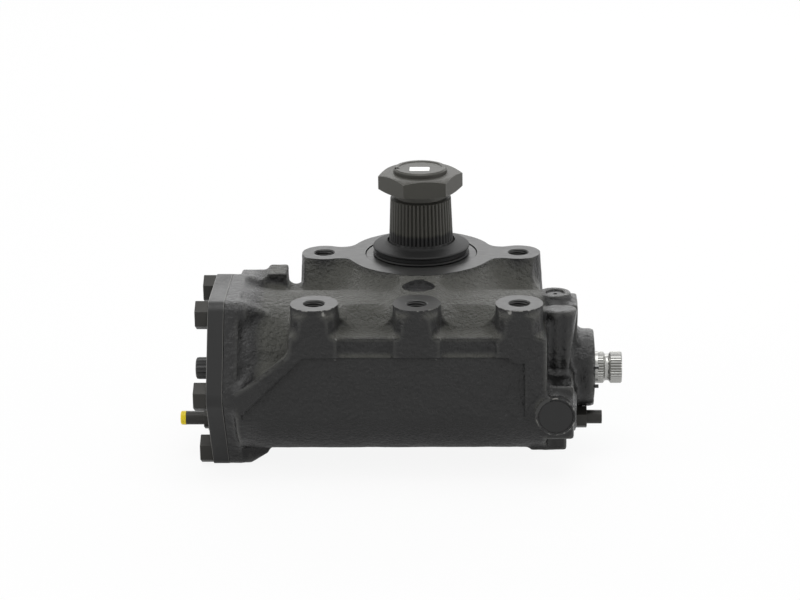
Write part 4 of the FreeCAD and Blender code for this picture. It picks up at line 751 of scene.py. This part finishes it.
def rounding(piece, sizes):
    """Rounds a casting with a distance grid, moulds its waves and marks its ridges."""
    tree, last = new_tree("Casting")
    grid_mm = sizes.grid
    last = offsets(
        tree, last, grid_mm, sizes.inner_round, -sizes.inner_round - sizes.outer_round, sizes.outer_round,
    )
    place = add(tree, "GeometryNodeInputPosition").outputs[0]
    normal = add(tree, "GeometryNodeInputNormal").outputs[0]
    smooth = add(tree, "GeometryNodeBlurAttribute", {"Iterations": 6}, data_type="FLOAT_VECTOR")
    tree.links.new(place, next(s for s in smooth.inputs if s.type == "VECTOR"))
    blurred = next(s for s in smooth.outputs if s.type == "VECTOR")
    away = add(tree, "ShaderNodeVectorMath", {0: place, 1: blurred}, operation="SUBTRACT")
    proud = add(tree, "ShaderNodeVectorMath", {0: away, 1: normal}, operation="DOT_PRODUCT").outputs["Value"]
    # A corner that stands 0.35 of a grid step over its smoothed place counts as a ridge
    step = 0.35 * grid_mm * MM
    ridge = add(tree, "ShaderNodeMath", {0: proud, 1: 1 / step}, operation="MULTIPLY")
    along = add(tree, "ShaderNodeSeparateXYZ", {0: place}).outputs["X"]
    upward = add(tree, "ShaderNodeSeparateXYZ", {0: normal}).outputs["Z"]
    left_run, right_run = (
        add(tree, "ShaderNodeMapRange", {"Value": along, "From Min": begins * MM, "From Max": full * MM})
        for begins, full in PAINT_RUNS
    )
    run = add(tree, "ShaderNodeMath", {0: left_run, 1: right_run}, operation="MAXIMUM")
    # How much a face looks up; the shader also paints such faces lighter from this, as painted top light
    slope = add(
        tree, "ShaderNodeMapRange",
        {"Value": upward, "From Min": 0.05, "From Max": 0.6, "To Min": WALL_SAND},
    )
    bare = add(tree, "ShaderNodeMapRange", {"Value": run, "To Min": 1.0, "To Max": 0.4})
    sand = add(tree, "ShaderNodeMath", {0: slope, 1: bare}, operation="MULTIPLY")
    for name, value in (("ridge", ridge), ("run", run), ("sand", sand)):
        last = add(
            tree, "GeometryNodeStoreNamedAttribute", {"Geometry": last, "Name": name, "Value": value},
            data_type="FLOAT", domain="POINT",
        )
    for height, length in ((sizes.swell, sizes.swell_length), (sizes.lumps, sizes.lump_length)):
        wave = add(tree, "ShaderNodeTexNoise", {"Vector": place, "Scale": per(length), "Detail": 1.0})
        level = add(tree, "ShaderNodeMath", {0: wave, 1: 0.5}, operation="SUBTRACT")
        lift = add(tree, "ShaderNodeMath", {0: level, 1: height * 2 * MM}, operation="MULTIPLY")
        offset = add(tree, "ShaderNodeVectorMath", {0: normal, "Scale": lift}, operation="SCALE")
        last = add(tree, "GeometryNodeSetPosition", {"Geometry": last, "Offset": offset})
    run_tree(piece, tree, last)


def move_plane(piece, axis, at, by):
    """Moves the corners that lie on a plane, as a pattern maker adds metal to a face."""
    k = "XYZ".index(axis)
    for v in piece.data.vertices:
        if abs(v.co[k] - at * MM) < 2e-6:
            v.co[k] += by * MM


def thread(angle, along, sizes):
    """How far a helical thread stands in or out at one point of a tapped hole."""
    if along > -LEAD_IN or along < -sizes.depth + 0.5:
        return 0
    turn = (along / sizes.pitch - angle / math.tau) % 1
    return (abs(turn * 2 - 1) - 0.5) * sizes.height


def neck_slope(bm):
    """The slope of the casting from the neck ring down to the deck."""
    lathe(bm, [(0, -40), (120, -40), (NECK_R, -5.5), (0, -5.5)])


def webs(bm):
    """The web to the middle boss, the slopes under the back bosses and the shoulder by the plug boss."""
    prism(bm, [(-18, -4), (18, -4), (34, -22), (-34, -22)], -135, -60, "Y")
    for low, high in ((-111, -62), (66, 107)):
        prism(bm, [(-14, -3), (-19, -3), (-33, -28), (-33, -44), (-14, -44)], low, high)
    prism(bm, [
        (-150, LEDGE_Z - 0.2), (-122, -11), (-100, -9.5), (-78, -12), (-78, -40), (-150, -40),
    ], -107, 107)
    block(bm, (116, -166, -128), (143, -118, -76))
    lathe(bm, [(0, -74), (3.5, -74), (11, -12.5), (0, -12.5)], centre=(135.5, -130, 0), segments=48)


def boss_skirts(bm):
    """The front bosses turn from round at the top to square where they meet the wall."""
    for x, y in BOSSES[:3]:
        made = bmesh.new()
        for i in range(32):
            a = math.tau * i / 32
            made.verts.new(Vector((x + 21.5 * math.cos(a), y + 21.5 * math.sin(a), -3)) * MM)
        for side in (-1, 1):
            for z, wide in ((-9, SKIRT - 2), (PANEL_TOP_Z - 1, SKIRT)):
                made.verts.new(Vector((x + side * (wide - 6), WALL_Y + 0.1, z)) * MM)
                made.verts.new(Vector((x + side * wide, WALL_Y + 6, z)) * MM)
                made.verts.new(Vector((x + side * wide, y, z)) * MM)
        bmesh.ops.convex_hull(made, input=made.verts)
        mesh = bpy.data.meshes.new("skirt")
        made.to_mesh(mesh)
        made.free()
        bm.from_mesh(mesh)


def bands(bm, sizes):
    """The wall between the front bosses lies back, below a flat ledge."""
    front, back = WALL_Y - 8, WALL_Y + sizes.band
    for side in (-1, 1):
        low, high = sorted((side * SKIRT, side * (BOSSES[1][0] - SKIRT)))
        prism(bm, [
            (front, PANEL_TOP_Z), (back, PANEL_TOP_Z), (back, LEDGE_Z + 4), (front, LEDGE_Z + 4),
        ], low, high)


def panel(bm, sizes):
    """The panel below lies back too, with a stepped corner at its right."""
    back = WALL_Y + sizes.panel
    prism(bm, [
        (-104, PANEL_TOP_Z), (83, PANEL_TOP_Z), (83, PANEL_TOP_Z - 5), (98, PANEL_TOP_Z - 5), (98, -170),
        (-160, -170), (-160, PANEL_TOP_Z - 55),
    ], WALL_Y - 8, back, "Y")


def dimple(bm, sizes):
    """The shallow round dimple behind the middle boss."""
    r = sizes.dimple / 2
    lathe(bm, [(0, -8), (r - 1.5, -8), (r, -6.6), (r + 0.6, 2), (0, 2)], centre=(0, -92, 0), segments=64)


def cylinder_bore(bm):
    """The bore for the piston, and the narrower one behind it for the input end."""
    lathe(bm, [
        (0, -200), (CYLINDER_R, -200), (CYLINDER_R, 104.5), (INPUT_R, 104.5), (INPUT_R, 175), (0, 175),
    ], "X", (0, AXIS_Y, AXIS_Z))


def sector_chamber(bm):
    """The chamber for the sector, with the seat of the side cover below it."""
    lathe(bm, [
        (0, -158), (SIDE_SEAT_R, -158), (SIDE_SEAT_R, SIDE_SEAT_Z), (CHAMBER_R, SIDE_SEAT_Z), (CHAMBER_R, 6),
        (0, 6),
    ])


def milled_faces(bm):
    """The deck's bosses, the flange, the input end and the plug boss are milled flat."""
    block(bm, (-130, -190, 0), (130, 90, 12))
    block(bm, (FLANGE_X - 12, -190, -175), (FLANGE_X, 20, -4))
    block(bm, (RING_X, -140, -140), (RING_X + 12, -30, -30))
    front, back = PLUG_BOSS_Y - 12, PLUG_BOSS_Y
    lathe(bm, [(0, front), (24, front), (24, back), (0, back)], "Y", PLUG_PLACE)


def plug_ring(bm):
    """The rim of the plug boss, with a painted edge."""
    front, back = PLUG_BOSS_Y, PLUG_BOSS_Y + 14
    lathe(bm, [
        (0, front), (PLUG_BOSS_R - 0.5, front), (PLUG_BOSS_R, front + 0.5), (PLUG_BOSS_R, back), (0, back),
    ], "Y", PLUG_PLACE)


def drilled_holes(bm, threads):
    """The tapped mounting holes, the hole behind the relief valve's plug and the port on the deck."""
    r, mouth = threads.hole / 2, threads.mouth / 2
    tapped = threads.depth - LEAD_IN
    count = int(tapped / threads.pitch * RINGS_A_TURN)
    rows = [(0, -threads.depth), (r, -threads.depth)]
    rows += [(r, -threads.depth + i * tapped / count) for i in range(1, count)]
    rows += [(r, -(mouth - r)), (mouth, 0), (mouth + 0.4, 0.4), (0, 0.4)]
    for x, y in BOSSES:
        lathe(bm, rows, centre=(x, y, 0), segments=48, wave=lambda a, z: thread(a, z, threads))
    front, back = PLUG_BOSS_Y - 1, PLUG_BOSS_Y + 10
    lathe(bm, [(0, front), (15.7, front), (15.7, back), (0, back)], "Y", PLUG_PLACE)
    lathe(bm, [(0, -32), (8.25, -32), (8.25, -11), (0, -11)], centre=(*PORT, 0), segments=48)


class GEAR_OT_casting(bpy.types.Operator):
    """Casts the housing with rounded walls and then mills, bores and taps it"""

    bl_idname = "gear.casting"
    bl_label = "Housing casting"

    def execute(self, context):
        sizes = settings("gear_casting")
        threads = settings("gear_threads")
        raw = copy_of("housing", "housing_casting")
        foot = min(v.co.z for v in raw.data.vertices)
        more = sizes.allowance
        for axis, at, by in (
            ("Z", 0, more), ("X", FLANGE_X, -more), ("X", RING_X, more),
            ("Y", PLUG_BOSS_Y, -more), ("Z", SIDE_SEAT_Z, -more),
        ):
            move_plane(raw, axis, at, by)
        cut(raw, solid("bands", lambda bm: bands(bm, sizes)))
        flows = solid("flows", neck_slope)
        cut(flows, solid("front", lambda bm: block(bm, *SLOPE_BOX)), "INTERSECT")
        joined(raw, flows)
        joined(raw, solid("webs", webs))
        joined(raw, solid("skirts", boss_skirts))
        cove(raw, sizes, sizes.cove, *DECK_BOX)
        cove(raw, sizes, sizes.hollow, *HOLLOW_BOX)
        rounding(raw, sizes)
        refinish(raw, paint())

        bores = solid("bores", cylinder_bore)
        cut(bores, solid("chamber", sector_chamber), "UNION")
        cut(bores, copy_of("housing", "stock"))
        refinish(bores, machined_paint())

        cut(raw, solid("planes", milled_faces, machined_paint()))
        cut(raw, bores)
        cut(raw, solid("panel", lambda bm: panel(bm, sizes), paint()))
        cut(raw, solid("dimple", lambda bm: dimple(bm, sizes), paint()))
        cut(raw, solid("plug_ring", plug_ring, paint()), "UNION")
        cut(raw, solid("drills", lambda bm: drilled_holes(bm, threads), machined_paint()))
        # The faces that the cuts leave are as sandy as the walls
        for value in raw.data.attributes["sand"].data:
            value.value = value.value or WALL_SAND
        # The waves of the sand mould don't reach below the foot
        for v in raw.data.vertices:
            v.co.z = max(v.co.z, foot)
        seat(raw, "housing", 38)
        return {"FINISHED"}


class GEAR_OT_covers(bpy.types.Operator):
    """Dresses the end cover and the side cover"""

    bl_idname = "gear.covers"
    bl_label = "Covers"

    def execute(self, context):
        edges = settings("gear_edges")
        dress("cylinder_cover", paint(), edges.cover, edge_paint_and_highlight())
        dress("side_cover", paint(), edges.cover, edge_paint_and_highlight())
        dress("bearing_cap", machined_paint(), edges.bearing_cap)
        return {"FINISHED"}


class GEAR_OT_fasteners(bpy.types.Operator):
    """Dresses the bolts, nuts and screws"""

    bl_idname = "gear.fasteners"
    bl_label = "Fasteners"

    def execute(self, context):
        edges = settings("gear_edges")
        for node in ("cover_bolts", "side_cover_bolts"):
            dress(node, black_bolt(), edges.head)
        for node in ("left_limiter_nut", "right_limiter_nut", "adjusting_nut", "left_limiter_screw",
                     "right_limiter_screw", "adjusting_screw"):
            dress(node, black_bolt(), edges.screw)
        return {"FINISHED"}


def label_sheet(bm, height):
    """A small rounded rectangle of vinyl on the end of the shaft."""
    wide, deep = LABEL_SIDES
    corners = []
    for k, (a, b) in enumerate(((1, -1), (1, 1), (-1, 1), (-1, -1))):
        for step in range(5):
            turn = math.radians(-90 + 90 * k + 22.5 * step)
            x = a * (wide / 2 - LABEL_ROUND) + LABEL_ROUND * math.cos(turn)
            y = b * (deep / 2 - LABEL_ROUND) + LABEL_ROUND * math.sin(turn)
            corners.append((x + LABEL_PLACE[0], y + LABEL_PLACE[1]))
    prism(bm, corners, height - 0.05, height + 0.15, "Z")


class GEAR_OT_output_shaft(bpy.types.Operator):
    """Dresses the sector shaft, its nut, seal carrier and dust cap, and sticks on the label"""

    bl_idname = "gear.output_shaft"
    bl_label = "Output shaft"

    def execute(self, context):
        edges = settings("gear_edges")
        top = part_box("sector_shaft")[1].z / MM
        sunk = top - 0.9
        shaft = dress("sector_shaft", shaft_steel(), edges.output_shaft)
        cut(shaft, solid("end_recess", lambda bm: lathe(bm, [
            (0, sunk), (20.6, sunk), (21.4, top + 1), (0, top + 1),
        ], segments=64)))
        cut(shaft, solid("end_notch", lambda bm: block(bm, (-24, -6, top - 1.6), (-19.6, -1.4, top + 1))))
        soften(shaft, 30)
        dress("pitman_nut", phosphate(), edges.nut, rubbed_steel_and_highlight())
        dress("seal_carrier", machined_paint(), edges.carrier)
        turned_piece("dust_cap", [
            (32.3, 0.3), (45.4, 0.3), (46.0, 0.9), (45.4, 2.2), (43.6, 2.6), (43.4, 5.4), (45.2, 6.2),
            (46.0, 6.9), (46.0, 7.9), (45.2, 8.7), (43.5, 9.1), (36.0, 11.0), (33.8, 12.2), (32.3, 13.3),
        ], rubber(), segments=128)
        label = solid("shaft_label", lambda bm: label_sheet(bm, sunk), vinyl())
        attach(label, NODES["sector_shaft"]["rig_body"])
        return {"FINISHED"}


class GEAR_OT_input_end(bpy.types.Operator):
    """Dresses the input shaft and its boot"""

    bl_idname = "gear.input_end"
    bl_label = "Input end"

    def execute(self, context):
        edges = settings("gear_edges")
        dress("input_shaft", bright(), edges.input_shaft)
        boot = dress("input_boot", glossy_rubber(), edges.boot)
        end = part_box("input_boot")[1].x / MM

        def tabs(bm):
            for side in (-1, 1):
                y, z = AXIS_Y - 26, AXIS_Z + side * 9.4
                block(bm, (end - 1, y - 1.6, z - 1.2), (end + 2.6, y + 1.6, z + 1.2))

        cut(boot, solid("boot_tabs", tabs), "UNION")
        soften(boot)
        return {"FINISHED"}


def plug_ribs(angle, along, low):
    """The ribs on the grip of the cover plug."""
    if along < low + 0.7 or along > COVER_X - 3.3:
        return 0
    return 0.45 * math.cos(16 * angle)


class GEAR_OT_plugs(bpy.types.Operator):
    """Dresses the plugs and the yellow cap"""

    bl_idname = "gear.plugs"
    bl_label = "Plugs and caps"

    def execute(self, context):
        edges = settings("gear_edges")
        for node in ("pressure_port_plug", "return_port_plug"):
            dress(node, plastic(), edges.plug)
        low, high = (corner.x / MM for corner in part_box("cover_plug"))
        turned_piece("cover_plug", [
            (0, low), (8.6, low), (9.6, low + 0.8), (9.9, low + 3), (9.9, COVER_X - 3.4),
            (13.8, COVER_X - 3.2), (14.5, COVER_X - 2.6), (14.5, COVER_X - 0.4), (9, COVER_X),
            (9, high), (0, high),
        ], plastic(), "X", (0, AXIS_Y, AXIS_Z), wave=lambda a, x: plug_ribs(a, x, low))
        turned_piece("relief_valve_plug", [
            (0, PLUG_BOSS_Y + 0.05), (15.3, PLUG_BOSS_Y + 0.05), (15.65, PLUG_BOSS_Y + 0.4),
            (15.65, -166.2), (0, -166.2),
        ], paint(), "Y", PLUG_PLACE)
        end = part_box("left_limiter_cap")[0].x / MM
        turned_piece("left_limiter_cap", [
            (0, end), (5.6, end), (6.5, end + 0.8), (6.6, end + 5), (6.4, end + 5), (6.4, end + 2.2),
            (0, end + 2.2),
        ], yellow(), "X", (0, LIMITER_Y, LIMITER_Z), 48)
        return {"FINISHED"}


class GEAR_OT_inner(bpy.types.Operator):
    """Finishes the pieces inside the housing"""

    bl_idname = "gear.inner"
    bl_label = "Inner pieces"

    def execute(self, context):
        for node in ("piston", "worm", "adjuster_retainer", "torsion_bar", "torsion_pin"):
            repaint(node, iron())
        for node in ("upper_bearing", "lower_bearing", "inner_thrust_bearing", "outer_thrust_bearing",
                     "recirculating_balls", "ball_return_guide"):
            repaint(node, race())
        for node in ("piston_ring", "valve_seal_rings"):
            repaint(node, seal_ring())
        for node in ("cover_seal", "side_cover_seal", "shaft_seal", "input_seal"):
            repaint(node, rubber())
        return {"FINISHED"}


class GEAR_OT_stage(bpy.types.Operator):
    """Makes the floor, the lights and the camera"""

    bl_idname = "gear.stage"
    bl_label = "Stage"

    def execute(self, context):
        stage = settings("gear_stage")
        low = CAD_BOX[0].z
        floor = solid("floor", lambda bm: bmesh.ops.create_grid(bm, x_segments=1, y_segments=1, size=8))
        floor.location.z = low - 0.0001
        material = bpy.data.materials.new("Matt_white_floor")
        material.use_nodes = True
        tree = material.node_tree
        tree.nodes.clear()
        cloth = add(tree, "ShaderNodeBsdfDiffuse", {"Color": linear(stage.floor)})
        glow = add(tree, "ShaderNodeEmission", {"Color": (1, 1, 1, 1), "Strength": 1.0})
        path = add(tree, "ShaderNodeLightPath").outputs
        seen = add(tree, "ShaderNodeMath", {0: path["Is Camera Ray"], 1: stage.glow}, operation="MULTIPLY")
        bounced = add(
            tree, "ShaderNodeMath", {0: path["Is Glossy Ray"], 1: path["Is Transmission Ray"]},
            operation="MAXIMUM",
        )
        mirrored = add(tree, "ShaderNodeMath", {0: bounced, 1: stage.mirrored_glow}, operation="MULTIPLY")
        part = add(tree, "ShaderNodeMath", {0: seen, 1: mirrored}, operation="MAXIMUM")
        both = add(tree, "ShaderNodeMixShader", {0: part, 1: cloth, 2: glow})
        add(tree, "ShaderNodeOutputMaterial", {"Surface": both})
        floor.data.materials.append(material)

        world = bpy.data.worlds.new("Even_white_studio")
        context.scene.world = world
        world.use_nodes = True
        tree = world.node_tree
        tree.nodes.clear()
        path = add(tree, "ShaderNodeLightPath").outputs
        shown = path["Is Camera Ray"]
        for kind in ("Is Glossy Ray", "Is Transmission Ray"):
            shown = add(tree, "ShaderNodeMath", {0: shown, 1: path[kind]}, operation="MAXIMUM")
        strength = add(tree, "ShaderNodeMapRange", {"Value": shown, "To Min": stage.sky})
        back = add(tree, "ShaderNodeBackground", {"Color": (1, 1, 1, 1), "Strength": strength})
        add(tree, "ShaderNodeOutputWorld", {"Surface": back})

        middle = Vector((0, -0.08, -0.08))
        for name, power, size, place in (
            ("top_light", stage.top_light, (2.0, 1.4), (0.1, -0.2, 2.2)),
            ("back_light", stage.back_light, (3.2, 1.0), (0.2, 2.0, 1.1)),
            ("side_light", stage.side_light, (0.9, 0.9), (-1.9, -0.9, 0.9)),
            ("right_light", stage.right_light, (0.7, 0.9), (2.0, -0.5, 0.35)),
        ):
            light = bpy.data.lights.new(name, "AREA")
            light.shape = "RECTANGLE"
            light.size, light.size_y = size
            light.energy = power
            lamp = bpy.data.objects.new(name, light)
            context.scene.collection.objects.link(lamp)
            lamp.location = place
            lamp.rotation_mode = "QUATERNION"
            lamp.rotation_quaternion = (Vector(place) - middle).to_track_quat("Z", "Y")

        camera = bpy.data.cameras.new("camera")
        camera.sensor_width = 36
        camera.lens = stage.lens
        camera.shift_x = stage.camera_shift
        eye = bpy.data.objects.new("camera", camera)
        context.scene.collection.objects.link(eye)
        eye.location = stage.camera_place
        eye.rotation_euler = stage.camera_turn
        context.scene.camera = eye
        context.scene.view_settings.view_transform = "Standard"
        return {"FINISHED"}


STEPS = (
    GEAR_OT_stage, GEAR_OT_casting, GEAR_OT_covers, GEAR_OT_fasteners, GEAR_OT_output_shaft,
    GEAR_OT_input_end, GEAR_OT_plugs, GEAR_OT_inner,
)


class GEAR_PT_steps(bpy.types.Panel):
    """Lists the steps that dress the steering gear"""

    bl_idname = "GEAR_PT_steps"
    bl_label = "Steering gear"
    bl_space_type = "VIEW_3D"
    bl_region_type = "UI"
    bl_category = "Steering gear"

    def draw(self, context):
        for step in STEPS:
            self.layout.operator(step.bl_idname)


GROUPS = {
    "gear_casting": CastingSizes,
    "gear_threads": ThreadSizes,
    "gear_edges": EdgeSizes,
    "gear_finishes": Finishes,
    "gear_stage": StageSettings,
}


def register():
    for name, group in GROUPS.items():
        bpy.utils.register_class(group)
        setattr(bpy.types.Scene, name, PointerProperty(type=group))
    for step in STEPS + (GEAR_PT_steps,):
        bpy.utils.register_class(step)


def unregister():
    for step in (GEAR_PT_steps,) + STEPS[::-1]:
        bpy.utils.unregister_class(step)
    for name, group in reversed(list(GROUPS.items())):
        delattr(bpy.types.Scene, name)
        bpy.utils.unregister_class(group)


def main():
    """Runs every step in order."""
    register()
    for step in STEPS:
        group, name = step.bl_idname.split(".")
        getattr(getattr(bpy.ops, group), name)()


if __name__ == "__main__":
    main()
